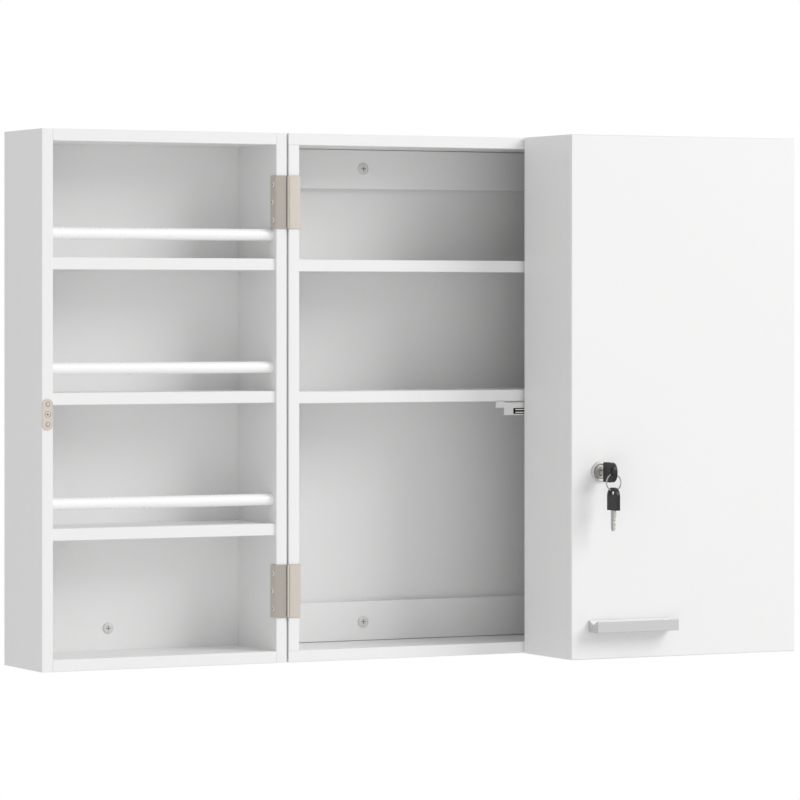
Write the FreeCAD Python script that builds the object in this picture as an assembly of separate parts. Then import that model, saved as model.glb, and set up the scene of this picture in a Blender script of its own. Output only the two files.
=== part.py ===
import FreeCAD, Part
import math
import os

# Wall-hung medicine cabinet: a shallow white board carcass with two shelves, and two box-shaped doors
# that hold four compartments each. Millimetres. X runs to the right, Y into the wall, Z up. The origin is
# the centre of the four wall screws on the back plane. The left door stands fully open, the right door is
# shut, and a key with a ring and a spare key is in its lock.

# Carcass
WIDTH = 540.0                  # outside, left to right
HEIGHT = 540.0                 # outside, also the height of both doors
CARCASS_DEPTH = 102.0          # from the wall to the front edges
BOARD = 12.0                   # thickness of every structural board
BACK_PANEL = 3.0               # thickness of the back panel, let in flush
BACK_LAP = 6.0                 # how far the back panel lies on the boards around it
BACK_SLACK = 0.3               # play around the back panel in its rebate
EDGE_BEVEL = 0.5               # of the lacquered board edges

# Glued stub tongues that join the boards
TONGUE_LENGTH = 4.0
TONGUE_THICKNESS = 6.0
TONGUE_STOP = 10.0             # how far a tongue stops short of the board's long edges
TONGUE_SLACK = 0.1             # glue gap around a tongue

# Shelves
SHELF_PITCH = HEIGHT / 4       # a door has four bays of one height
SHELF_RECESS = 2.5             # how far the front edges stand back
DOOR_SHELF_LIFT = 1.0          # the door shelves sit this much above the carcass shelves

# Hanging rails and wall screws
HANGING_RAIL_HEIGHT = 41.0
HANGING_RAIL_THICKNESS = 12.0
HANGING_RAIL_GAP = 0.4         # to the top or bottom board
WALL_SCREW_SPACING = 286.0     # left to right
WALL_SCREW_INSET = 32.0        # from the carcass's top or bottom
WALL_SCREW_RADIUS = 2.25
WALL_SCREW_LENGTH = 45.0
WALL_SCREW_TIP = 4.0           # length of the point
WALL_SCREW_POINT = 0.4         # radius at the point
POINT_ROOT = 0.9               # the point's start, of the shank's radius
WALL_SCREW_HEAD_RADIUS = 6.0
WALL_SCREW_HEAD_HEIGHT = 2.6

# Doors
DOOR_DEPTH = CARCASS_DEPTH     # an open door lies flush beside the carcass
DOOR_FRONT = 9.0               # thickness of the front panel
DOOR_FRONT_BEVEL = 0.8
MEETING_GAP = 3.0              # between the two shut doors
RAIL_RADIUS = 6.0              # round guard rails
RAIL_LIFT = 24.2               # rail centre above the shelf's upper face
RAIL_SETBACK = 12.5            # rail centre behind the open side of the door
RAIL_SOCKET = 4.0              # depth of the rails' blind sockets
RAIL_SLACK = 0.1               # play of a rail in its sockets

# Wrap-around hinges
LEAF = 1.0                     # sheet thickness
LEAF_GAP = 0.4                 # between the two leaves of a shut hinge
OPEN_GAP = 2.0                 # between carcass and door side when the door is fully open
HINGE_LENGTH = 54.0
HINGE_RAIL_GAP = 0.3           # from the upper hinge down to the top guard rail
LOWER_HINGE_LIFT = 2.5         # the lower hinge stands this much nearer the middle than the upper one
FLANGE_DEPTH = 12.5            # of the flange on the board's inner face, from the board's edge
FLANGE_CORNER = 1.5            # bevel of the flange's corners
BEND_BEVEL = 0.5
KNUCKLE_RADIUS = 1.7
KNUCKLE_GAP = 0.3              # between neighbouring knuckles, and beside them
HINGE_PIN_RADIUS = 0.9
HINGE_PIN_PLAY = 0.05
LEAF_SCREW_SPACING = 18.0
LEAF_SCREW_SETBACK = 6.0       # outer screws, from the board's edge
LEAF_SCREW_STAGGER = 1.5       # the middle screw stands further back

# Countersunk wood screws of hinges, strikes and catch
SCREW_RADIUS = 1.3
SCREW_HEAD_RADIUS = 2.6
SCREW_HEAD_HEIGHT = LEAF       # countersunk through a hinge leaf
SCREW_LENGTH = 9.5
SCREW_PLAY = 0.05

# Magnetic catch under the lower shelf and the strikes on the doors
CATCH_WIDTH = 41.0
CATCH_HEIGHT = 7.7             # of the body below the ears
CATCH_DEPTH = 15.0
CATCH_RECESS = 0.4             # housing front behind the carcass front
EAR_WIDTH = 61.0               # over both ears
EAR_HEIGHT = 6.7
EAR_SCREW_SPACING = 51.0
MAGNET_WIDTH = 18.4
MAGNET_HEIGHT = 5.8
MAGNET_DEPTH = 11.0
MAGNET_PROUD = 0.6             # magnet front ahead of the housing
MAGNET_FLOOR = 1.3             # wall below the magnet
MAGNET_PLAY = 0.1
POLE = 1.1                     # thickness of the two steel pole plates
POLE_SPACING = 2.7
POLE_INSET = 1.1               # from the magnet's ends
POLE_PROUD = 0.6               # pole edges ahead of the magnet
STRIKE_LENGTH = 31.0
STRIKE_WIDTH = 11.6
STRIKE = 1.2
STRIKE_LIFT = 2.2              # strike centre above the magnet centre
STRIKE_BUMP_SPACING = 20.0
STRIKE_BUMP_RADIUS = 2.1
STRIKE_BUMP_TOP = 1.3
STRIKE_BUMP = 0.35

# Bar handles
HANDLE_LENGTH = 96.0
HANDLE_HEIGHT = 12.0
HANDLE_DEPTH = 20.0
HANDLE_FROM_EDGE = 20.0        # from the door's free edge
HANDLE_FROM_BOTTOM = 28.3
GROOVE_WIDTH = 16.0            # V-groove along the top
GROOVE_DEPTH = 3.8
HANDLE_BEVEL = 0.5
HANDLE_SCREW_INSET = 6.0       # from the handle's ends
HANDLE_SCREW_RADIUS = 2.0
HANDLE_SCREW_REACH = 8.0       # into the handle
HANDLE_SCREW_HEAD_RADIUS = 5.7
HANDLE_SCREW_HEAD_HEIGHT = 2.2
DOME_TOP = 0.65                # flat top of a pan head, of its radius
DOME_RIM = 0.35                # upright rim of a pan head, of its height
CROSS_WIDTH = 1.3              # cross recess in the pan heads
CROSS_SHARE = 0.5              # of the head's width
CROSS_DEPTH = 1.4

# Cam lock
LOCK_FROM_EDGE = 33.5          # from the right door's free edge
LOCK_LIFT = 58.0               # above the middle of the bay's lower shelf, before the doors' lift
ROSETTE_RADIUS = 10.5
ROSETTE = 3.0
LOCK_BODY_RADIUS = 8.5
LOCK_BODY_LENGTH = 22.0        # behind the door's front face
LOCK_HOLE_PLAY = 0.1
LOCK_NUT_WIDTH = 22.0          # across the flats
LOCK_NUT = 5.0
PLUG_RADIUS = 6.0
PLUG_FLANGE_RADIUS = 7.0
PLUG_FLANGE = 0.9
PLUG_RECESS = 1.0              # plug front behind the rosette's front
PLUG_PLAY = 0.05
PLUG_SQUARE = 7.0
CAM = 2.0
CAM_GAP = 0.3                  # to the end of the lock body
CAM_HUB_RADIUS = 8.0
CAM_WIDTH = 11.0
CAM_REACH = 20.0
CAM_BEVEL = 2.5                # of the corners at the cam's end
CAM_SCREW_RADIUS = 2.0
CAM_SCREW_LENGTH = 7.0
CAM_SCREW_HEAD_WIDTH = 8.0     # across the flats
CAM_SCREW_HEAD = 2.0

# Keys and ring
KEY_STANDOFF = 10.0            # key head in front of the door's face
KEY_HEAD_LENGTH = 23.4
KEY_HEAD_WIDTH = 20.5
KEY_HEAD = 4.0                 # thickness
KEY_HEAD_ARCH = 7.0            # rise of the arched end
KEY_HEAD_BEVEL = 0.7           # of the two corners at the blade
KEY_HOLE_RADIUS = 2.75
KEY_HOLE_FROM_END = 5.0
KEY_BLADE_LENGTH = 21.4        # outside the head
KEY_BLADE_WIDTH = 7.4
KEY_BLADE = 2.2                # thickness
KEY_POINT = 4.0                # length of the pointed tip
KEY_TANG_LENGTH = 8.0          # inside the head
KEY_TANG_WIDTH = 9.0
KEY_NOTCHES = 4
KEY_NOTCH_PITCH = 3.6
KEY_NOTCH_DEPTH = 1.6
SHALLOW_NOTCH = 0.6            # every other notch, of the full depth
KEY_TIP_SHARE = 0.3            # width of the tip, of the blade
KEYWAY_PLAY = 0.15
RING_RADIUS = 8.5
RING_WIRE = 1.2                # side of the flattened wire
RING_PLAY = 0.05               # of the wire in a key's hole

# Sides of the small round forms that repeat
SCREW_SIDES = 8
PAN_SCREW_SIDES = 12
KNUCKLE_SIDES = 12
SOCKET_SIDES = 16
STRIKE_SIDES = 16
LOCK_SIDES = 32
RING_SIDES = 32

# Planes and centres that several pieces share
FRONT = -CARCASS_DEPTH
TOP = HEIGHT / 2
SIDE = WIDTH / 2
INNER_SIDE = SIDE - BOARD
INNER_TOP = TOP - BOARD
CLOSED_GAP = 2 * LEAF + LEAF_GAP
DOOR_BACK = FRONT - CLOSED_GAP
DOOR_FACE = DOOR_BACK - DOOR_DEPTH
PANEL_BACK = DOOR_FACE + DOOR_FRONT
FREE_EDGE = MEETING_GAP / 2
FREE_INNER = FREE_EDGE + BOARD
AXIS_X = SIDE + OPEN_GAP / 2
AXIS_Y = FRONT - CLOSED_GAP / 2
TOP_RAIL = SHELF_PITCH + DOOR_SHELF_LIFT + BOARD / 2 + RAIL_LIFT
UPPER_HINGE = TOP_RAIL + RAIL_RADIUS + HINGE_RAIL_GAP + HINGE_LENGTH / 2
HINGE_CENTRES = (LOWER_HINGE_LIFT - UPPER_HINGE, UPPER_HINGE)
RAIL_FRONT = -BACK_PANEL - HANGING_RAIL_THICKNESS
CATCH_TOP = -BOARD / 2
CATCH_FRONT = FRONT + CATCH_RECESS
MAGNET_CENTRE = CATCH_TOP - EAR_HEIGHT - CATCH_HEIGHT + MAGNET_FLOOR + MAGNET_HEIGHT / 2
STRIKE_CENTRE = MAGNET_CENTRE + STRIKE_LIFT
STRIKE_X = FREE_EDGE + BOARD / 2
LOCK_X = FREE_EDGE + LOCK_FROM_EDGE
LOCK_Z = LOCK_LIFT - SHELF_PITCH
LOCK_BACK = DOOR_FACE + LOCK_BODY_LENGTH
CAM_FRONT = LOCK_BACK + CAM_GAP
KEY_HOLE_Y = DOOR_FACE - KEY_STANDOFF - KEY_HEAD_LENGTH + KEY_HOLE_FROM_END

AXIS_DIRECTION = {"x": FreeCAD.Vector(1, 0, 0), "y": FreeCAD.Vector(0, 1, 0), "z": FreeCAD.Vector(0, 0, 1)}


def block(low, high):
    """A box between two corners."""
    size = [b - a for a, b in zip(low, high)]
    return Part.makeBox(*size, FreeCAD.Vector(*low))


def edges_along(shape, axis, test):
    """The straight edges of a shape that run along one axis and whose middle passes the test."""
    found = []
    for edge in shape.Edges:
        run = edge.lastVertex().Point - edge.firstVertex().Point
        if run.Length > 0 and abs(abs(run.dot(AXIS_DIRECTION[axis])) - edge.Length) < 1e-6:
            if test(edge.CenterOfMass):
                found.append(edge)
    return found


def same(a, b):
    """Whether two coordinates are the same plane."""
    return abs(a - b) < 1e-6


def placed(shape, point, into):
    """A piece drawn along +Z from the origin, moved to a point and turned to run along a direction."""
    turn = FreeCAD.Rotation(FreeCAD.Vector(0, 0, 1), FreeCAD.Vector(*into))
    moved = shape.copy()
    moved.Placement = FreeCAD.Placement(FreeCAD.Vector(*point), turn)
    return moved


def faceted(profile, sides):
    """A many-sided round solid along Z through (radius, height) sections, with flat faces."""
    rings = []
    for radius, height in profile:
        angles = [2 * math.pi * i / sides for i in range(sides)]
        rings.append([FreeCAD.Vector(radius * math.cos(a), radius * math.sin(a), height) for a in angles])
    outlines = [rings[0][::-1], rings[-1]]
    for lower, upper in zip(rings, rings[1:]):
        for i in range(sides):
            j = (i + 1) % sides
            outlines.append([lower[i], lower[j], upper[j], upper[i]])
    faces = [Part.Face(Part.makePolygon(outline + outline[:1])) for outline in outlines]
    return Part.Solid(Part.Shell(faces))


def around(radius, sides):
    """The corner radius of a many-sided hole that a round bar of some radius just fills."""
    return radius / math.cos(math.pi / sides)


def mirrored_x(shape):
    """The same piece on the other half of the cabinet."""
    return shape.mirror(FreeCAD.Vector(), FreeCAD.Vector(1, 0, 0))


def opened_left(shape):
    """A piece of the shut right door as it stands on the left door, turned half round on its hinges."""
    turned = shape.mirror(FreeCAD.Vector(0, AXIS_Y, 0), FreeCAD.Vector(0, 1, 0))
    turned.translate(FreeCAD.Vector(-2 * AXIS_X, 0, 0))
    return turned


def tongues(low, high, length, thick, slack=0.0):
    """The stub tongues on both ends of a board between two corners, or with slack their grooves."""
    width = 3 - length - thick
    middle = (low[thick] + high[thick]) / 2
    found = []
    for end, side in ((low[length], -1), (high[length], 1)):
        near, far = [0.0] * 3, [0.0] * 3
        near[thick] = middle - TONGUE_THICKNESS / 2 - slack
        far[thick] = middle + TONGUE_THICKNESS / 2 + slack
        near[width] = low[width] + TONGUE_STOP - slack
        far[width] = high[width] - TONGUE_STOP + slack
        outer = end + side * (TONGUE_LENGTH + slack)
        near[length] = min(end, outer)
        far[length] = max(end, outer)
        found.append(block(near, far))
    return found


def tongued_board(low, high, length, thick):
    """A board with a stub tongue on both ends, and the grooves that take them."""
    board = block(low, high).multiFuse(tongues(low, high, length, thick)).removeSplitter()
    return board, tongues(low, high, length, thick, TONGUE_SLACK)


def eased(board, y, bevel=EDGE_BEVEL):
    """A board that runs along X with its long edges at one depth bevelled."""
    return board.makeChamfer(bevel, edges_along(board, "x", lambda middle: same(middle.y, y)))


def hinge_edge_round():
    """The rounding of a side board's outer edge that lets the hinge knuckle pass."""
    across, ahead = OPEN_GAP / 2, CLOSED_GAP / 2
    reach = KNUCKLE_RADIUS + KNUCKLE_GAP
    spare = across + ahead - reach
    return max(EDGE_BEVEL, math.sqrt(spare ** 2 - across ** 2 - ahead ** 2 + reach ** 2) - spare)


def upright(board, x, y):
    """The upright edges of a board at one place."""
    return edges_along(board, "z", lambda middle: same(middle.x, x) and same(middle.y, y))


def hinge_board(board, y):
    """The right-hand board that carries a hinge: bevelled inside, rounded outside for the knuckle."""
    board = board.makeFillet(hinge_edge_round(), upright(board, SIDE, y))
    return board.makeChamfer(EDGE_BEVEL, upright(board, INNER_SIDE, y))


# Screws are drawn with the seat of the head at the origin and the shank along +Z.

def wood_screw(play=0.0):
    """A countersunk wood screw, flush with its seat, or with play the hole that it sits in."""
    return faceted([
        (SCREW_HEAD_RADIUS + play, 0),
        (SCREW_RADIUS + play, SCREW_HEAD_HEIGHT),
        (SCREW_RADIUS + play, SCREW_LENGTH + play),
    ], SCREW_SIDES)


def pan_head(radius, height, shank_radius, shank_end):
    """A low domed screw head with a cross recess, and a plain shank."""
    head = faceted([
        (radius * DOME_TOP, -height),
        (radius, -height * DOME_RIM),
        (radius, 0),
        (shank_radius, 0),
        (shank_radius, shank_end),
    ], PAN_SCREW_SIDES)
    arm, half = radius * CROSS_SHARE, CROSS_WIDTH / 2
    floor = -height + CROSS_DEPTH
    bar = block((-arm, -half, -2 * height), (arm, half, floor))
    return head.cut(bar.fuse(block((-half, -arm, -2 * height), (half, arm, floor))))


def wall_screw():
    """A pan-head screw with a round shank behind the cabinet's back, and a point."""
    start = HANGING_RAIL_THICKNESS + BACK_PANEL
    straight = WALL_SCREW_LENGTH - WALL_SCREW_TIP
    core = WALL_SCREW_RADIUS * POINT_ROOT
    screw = pan_head(WALL_SCREW_HEAD_RADIUS, WALL_SCREW_HEAD_HEIGHT, core, start)
    shank = Part.makeCylinder(WALL_SCREW_RADIUS, straight - start, FreeCAD.Vector(0, 0, start))
    point = faceted([(core, straight), (WALL_SCREW_POINT, WALL_SCREW_LENGTH)], SCREW_SIDES)
    return screw.fuse(shank).fuse(point)


def drill(piece, radius, point, into, length, sides=PAN_SCREW_SIDES):
    """A piece with a hole for a round bar of some radius, from a point along a direction."""
    hole = faceted([(around(radius, sides), 0), (around(radius, sides), length)], sides)
    return piece.cut(placed(hole, point, into))


def wall_screw_places():
    """The four wall screws on the hanging rails' front faces."""
    across, up = WALL_SCREW_SPACING / 2, TOP - WALL_SCREW_INSET
    return [(x, RAIL_FRONT, z) for z in (-up, up) for x in (-across, across)]


def leaf_screw_places():
    """The screws of the right-hand frame leaves, on the flange's face."""
    found = []
    for centre in HINGE_CENTRES:
        for step in (-1, 0, 1):
            setback = LEAF_SCREW_SETBACK + (LEAF_SCREW_STAGGER if step == 0 else 0)
            found.append((INNER_SIDE - LEAF, FRONT + setback, centre + step * LEAF_SCREW_SPACING))
    return found


def catch_screw_places():
    """The catch's two screws, on the underside of its ears."""
    return [(side * EAR_SCREW_SPACING / 2, CATCH_FRONT + CATCH_DEPTH / 2, CATCH_TOP - EAR_HEIGHT)
            for side in (-1, 1)]


# Carcass

def carcass():
    """The boards of the carcass by name."""
    side_low = (INNER_SIDE, FRONT, -INNER_TOP)
    side_high = (SIDE, 0, INNER_TOP)
    right_side, end_grooves = tongued_board(side_low, side_high, 2, 0)
    all_end_grooves = end_grooves + [mirrored_x(groove) for groove in end_grooves]
    lap = BACK_LAP + BACK_SLACK
    rebate = block((-INNER_SIDE - lap, -BACK_PANEL, -INNER_TOP - lap),
                   (INNER_SIDE + lap, 0, INNER_TOP + lap))

    shelves, shelf_grooves = [], []
    for level in (0.0, SHELF_PITCH):
        shelf_low = (-INNER_SIDE, FRONT + SHELF_RECESS, level - BOARD / 2)
        shelf_high = (INNER_SIDE, -BACK_PANEL, level + BOARD / 2)
        shelf, grooves = tongued_board(shelf_low, shelf_high, 0, 2)
        shelves.append(eased(shelf, FRONT + SHELF_RECESS))
        shelf_grooves += grooves
    for point in catch_screw_places():
        shelves[0] = shelves[0].cut(placed(wood_screw(SCREW_PLAY), point, (0, 0, 1)))

    rails = []
    rail_end = INNER_TOP - HANGING_RAIL_GAP
    for low_z in (-rail_end, rail_end - HANGING_RAIL_HEIGHT):
        rail_low = (-INNER_SIDE, RAIL_FRONT, low_z)
        rail_high = (INNER_SIDE, -BACK_PANEL, low_z + HANGING_RAIL_HEIGHT)
        rail, grooves = tongued_board(rail_low, rail_high, 0, 1)
        rails.append(eased(rail, RAIL_FRONT))
        shelf_grooves += grooves

    right_side = right_side.cut(rebate)
    right_side = hinge_board(right_side, FRONT)
    for groove in shelf_grooves:
        right_side = right_side.cut(groove)
    for point in leaf_screw_places():
        right_side = right_side.cut(placed(wood_screw(SCREW_PLAY), point, (1, 0, 0)))

    top = eased(block((-SIDE, FRONT, INNER_TOP), (SIDE, 0, TOP)), FRONT).cut(rebate)
    bottom = eased(block((-SIDE, FRONT, -TOP), (SIDE, 0, -INNER_TOP)), FRONT).cut(rebate)
    for groove in all_end_grooves:
        top = top.cut(groove)
        bottom = bottom.cut(groove)

    back = block((-INNER_SIDE - BACK_LAP, -BACK_PANEL, -INNER_TOP - BACK_LAP),
                 (INNER_SIDE + BACK_LAP, 0, INNER_TOP + BACK_LAP))
    hole = WALL_SCREW_RADIUS + SCREW_PLAY
    screws = []
    for point in wall_screw_places():
        back = drill(back, hole, point, (0, 1, 0), CARCASS_DEPTH)
        rails = [drill(rail, hole, point, (0, 1, 0), CARCASS_DEPTH) for rail in rails]
        screws.append(placed(wall_screw(), point, (0, 1, 0)))

    return {
        "carcass_top": top,
        "carcass_bottom": bottom,
        "carcass_side_left": mirrored_x(right_side),
        "carcass_side_right": right_side,
        "back_panel": back,
        "lower_shelf": shelves[0],
        "upper_shelf": shelves[1],
        "lower_hanging_rail": rails[0],
        "upper_hanging_rail": rails[1],
        "wall_screws": Part.makeCompound(screws),
    }


# Hinges

def knuckle_spans(centre):
    """The heights of the three knuckles of one hinge, from the bottom up."""
    length = (HINGE_LENGTH - 2 * KNUCKLE_GAP) / 3
    start = centre - HINGE_LENGTH / 2
    starts = [start + i * (length + KNUCKLE_GAP) for i in range(3)]
    return [(low, low + length) for low in starts]


def frame_side_leaf(centre, own):
    """A leaf on the edge and the inner face of the right carcass side, with its own share of the knuckles."""
    low, high = centre - HINGE_LENGTH / 2, centre + HINGE_LENGTH / 2
    plate_end = AXIS_X - KNUCKLE_RADIUS - KNUCKLE_GAP
    plate_front = FRONT - LEAF
    flange_back = FRONT + FLANGE_DEPTH
    outline = [
        (plate_end, FRONT), (INNER_SIDE, FRONT), (INNER_SIDE, flange_back),
        (INNER_SIDE - LEAF, flange_back), (INNER_SIDE - LEAF, plate_front), (plate_end, plate_front),
    ]
    points = [FreeCAD.Vector(x, y, low) for x, y in outline]
    leaf = Part.Face(Part.makePolygon(points + points[:1])).extrude(FreeCAD.Vector(0, 0, high - low))
    bend = edges_along(leaf, "z", lambda m: same(m.x, INNER_SIDE - LEAF) and same(m.y, plate_front))
    leaf = leaf.makeChamfer(BEND_BEVEL, bend)
    corners = edges_along(leaf, "x", lambda m: same(m.y, flange_back))
    leaf = leaf.makeChamfer(FLANGE_CORNER, corners)
    spans = knuckle_spans(centre)
    for i in own:
        start, end = spans[i]
        tab = block((plate_end, plate_front, start), (AXIS_X, FRONT, end))
        barrel = faceted([(KNUCKLE_RADIUS, 0), (KNUCKLE_RADIUS, end - start)], KNUCKLE_SIDES)
        leaf = leaf.fuse(tab).fuse(placed(barrel, (AXIS_X, AXIS_Y, start), (0, 0, 1)))
    leaf = drill(leaf.removeSplitter(), HINGE_PIN_RADIUS + HINGE_PIN_PLAY, (AXIS_X, AXIS_Y, low), (0, 0, 1),
                 high - low, KNUCKLE_SIDES)
    for point in leaf_screw_places():
        leaf = leaf.cut(placed(wood_screw(SCREW_PLAY), point, (1, 0, 0)))
    return leaf


def on_door(shape):
    """A frame-side hinge piece as it sits on the shut right door, across the hinge's middle plane."""
    return shape.mirror(FreeCAD.Vector(0, AXIS_Y, 0), FreeCAD.Vector(0, 1, 0))


def hinge_pin(centre):
    """A plain round pin through the three knuckles."""
    return Part.makeCylinder(HINGE_PIN_RADIUS, HINGE_LENGTH,
                             FreeCAD.Vector(AXIS_X, AXIS_Y, centre - HINGE_LENGTH / 2))


def hinges():
    """The leaves, pins and screws of the four hinges by name."""
    frame_leaves = Part.makeCompound([frame_side_leaf(centre, (0, 2)) for centre in HINGE_CENTRES])
    door_leaves = Part.makeCompound([on_door(frame_side_leaf(centre, (1,))) for centre in HINGE_CENTRES])
    pins = Part.makeCompound([hinge_pin(centre) for centre in HINGE_CENTRES])
    screws = [placed(wood_screw(), point, (1, 0, 0)) for point in leaf_screw_places()]
    screws += [mirrored_x(screw) for screw in screws]
    screws += [placed(wood_screw(), point, (0, 0, 1)) for point in catch_screw_places()]
    return {
        "right_frame_leaves": frame_leaves,
        "left_frame_leaves": mirrored_x(frame_leaves),
        "right_door_leaves": door_leaves,
        "left_door_leaves": opened_left(door_leaves),
        "right_hinge_pins": pins,
        "left_hinge_pins": mirrored_x(pins),
        "carcass_wood_screws": Part.makeCompound(screws),
    }


# Magnetic catch

def catch():
    """The T-shaped housing, its magnet and the two pole plates by name."""
    ear, body = EAR_WIDTH / 2, CATCH_WIDTH / 2
    ear_bottom = CATCH_TOP - EAR_HEIGHT
    back = CATCH_FRONT + CATCH_DEPTH
    housing = block((-ear, CATCH_FRONT, ear_bottom), (ear, back, CATCH_TOP))
    housing = housing.fuse(block((-body, CATCH_FRONT, ear_bottom - CATCH_HEIGHT), (body, back, ear_bottom)))
    housing = eased(housing.removeSplitter(), CATCH_FRONT)

    half, tall = MAGNET_WIDTH / 2, MAGNET_HEIGHT / 2
    front = CATCH_FRONT - MAGNET_PROUD
    magnet_back = front + MAGNET_DEPTH
    low = (-half, front, MAGNET_CENTRE - tall)
    high = (half, magnet_back, MAGNET_CENTRE + tall)
    room = [value - MAGNET_PLAY for value in low], [value + MAGNET_PLAY for value in high]
    housing = housing.cut(block(*room))
    for point in catch_screw_places():
        housing = housing.cut(placed(wood_screw(SCREW_PLAY), point, (0, 0, 1)))

    magnet = block(low, high)
    poles = []
    for side in (-1, 1):
        middle = MAGNET_CENTRE + side * POLE_SPACING / 2
        pole = block((POLE_INSET - half, front - POLE_PROUD, middle - POLE / 2),
                     (half - POLE_INSET, magnet_back, middle + POLE / 2))
        magnet = magnet.cut(pole)
        poles.append(pole)
    return {"catch_housing": housing, "catch_magnet": magnet, "catch_pole_plates": Part.makeCompound(poles)}


def strike():
    """The obround strike on the free side board of the shut right door."""
    half, straight = STRIKE_WIDTH / 2, (STRIKE_LENGTH - STRIKE_WIDTH) / 2
    face = DOOR_BACK + STRIKE
    plate = block((STRIKE_X - half, DOOR_BACK, STRIKE_CENTRE - straight),
                  (STRIKE_X + half, face, STRIKE_CENTRE + straight))
    end = faceted([(half, 0), (half, STRIKE)], STRIKE_SIDES)
    bump = faceted([(STRIKE_BUMP_RADIUS, 0), (STRIKE_BUMP_TOP, STRIKE_BUMP)], KNUCKLE_SIDES)
    for side in (-1, 1):
        plate = plate.fuse(placed(end, (STRIKE_X, DOOR_BACK, STRIKE_CENTRE + side * straight), (0, 1, 0)))
        centre = (STRIKE_X, face, STRIKE_CENTRE + side * STRIKE_BUMP_SPACING / 2)
        plate = plate.fuse(placed(bump, centre, (0, 1, 0)))
    return plate.removeSplitter().cut(placed(wood_screw(SCREW_PLAY), strike_screw_place(), (0, -1, 0)))


def strike_screw_place():
    """The strike's screw, flush with the strike's face."""
    return STRIKE_X, DOOR_BACK + STRIKE, STRIKE_CENTRE


# Doors

def handle():
    """A square bar with a V-groove along its top, on the shut right door."""
    start = FREE_EDGE + HANDLE_FROM_EDGE
    low = HANDLE_FROM_BOTTOM - TOP
    high = low + HANDLE_HEIGHT
    outer = DOOR_FACE - HANDLE_DEPTH
    middle = DOOR_FACE - HANDLE_DEPTH / 2
    outline = [
        (DOOR_FACE, low), (outer, low), (outer, high), (middle - GROOVE_WIDTH / 2, high),
        (middle, high - GROOVE_DEPTH), (middle + GROOVE_WIDTH / 2, high), (DOOR_FACE, high),
    ]
    points = [FreeCAD.Vector(start, y, z) for y, z in outline]
    bar = Part.Face(Part.makePolygon(points + points[:1])).extrude(FreeCAD.Vector(HANDLE_LENGTH, 0, 0))
    bar = eased(bar, outer, HANDLE_BEVEL)
    for point in handle_screw_places():
        bar = drill(bar, HANDLE_SCREW_RADIUS + SCREW_PLAY, point, (0, -1, 0),
                    DOOR_FRONT + HANDLE_SCREW_REACH + SCREW_PLAY)
    return bar


def handle_screw_places():
    """The handle's screws, on the inner face of the door's front panel."""
    start = FREE_EDGE + HANDLE_FROM_EDGE
    height = HANDLE_FROM_BOTTOM - TOP + HANDLE_HEIGHT / 2
    return [(x, PANEL_BACK, height)
            for x in (start + HANDLE_SCREW_INSET, start + HANDLE_LENGTH - HANDLE_SCREW_INSET)]


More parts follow.
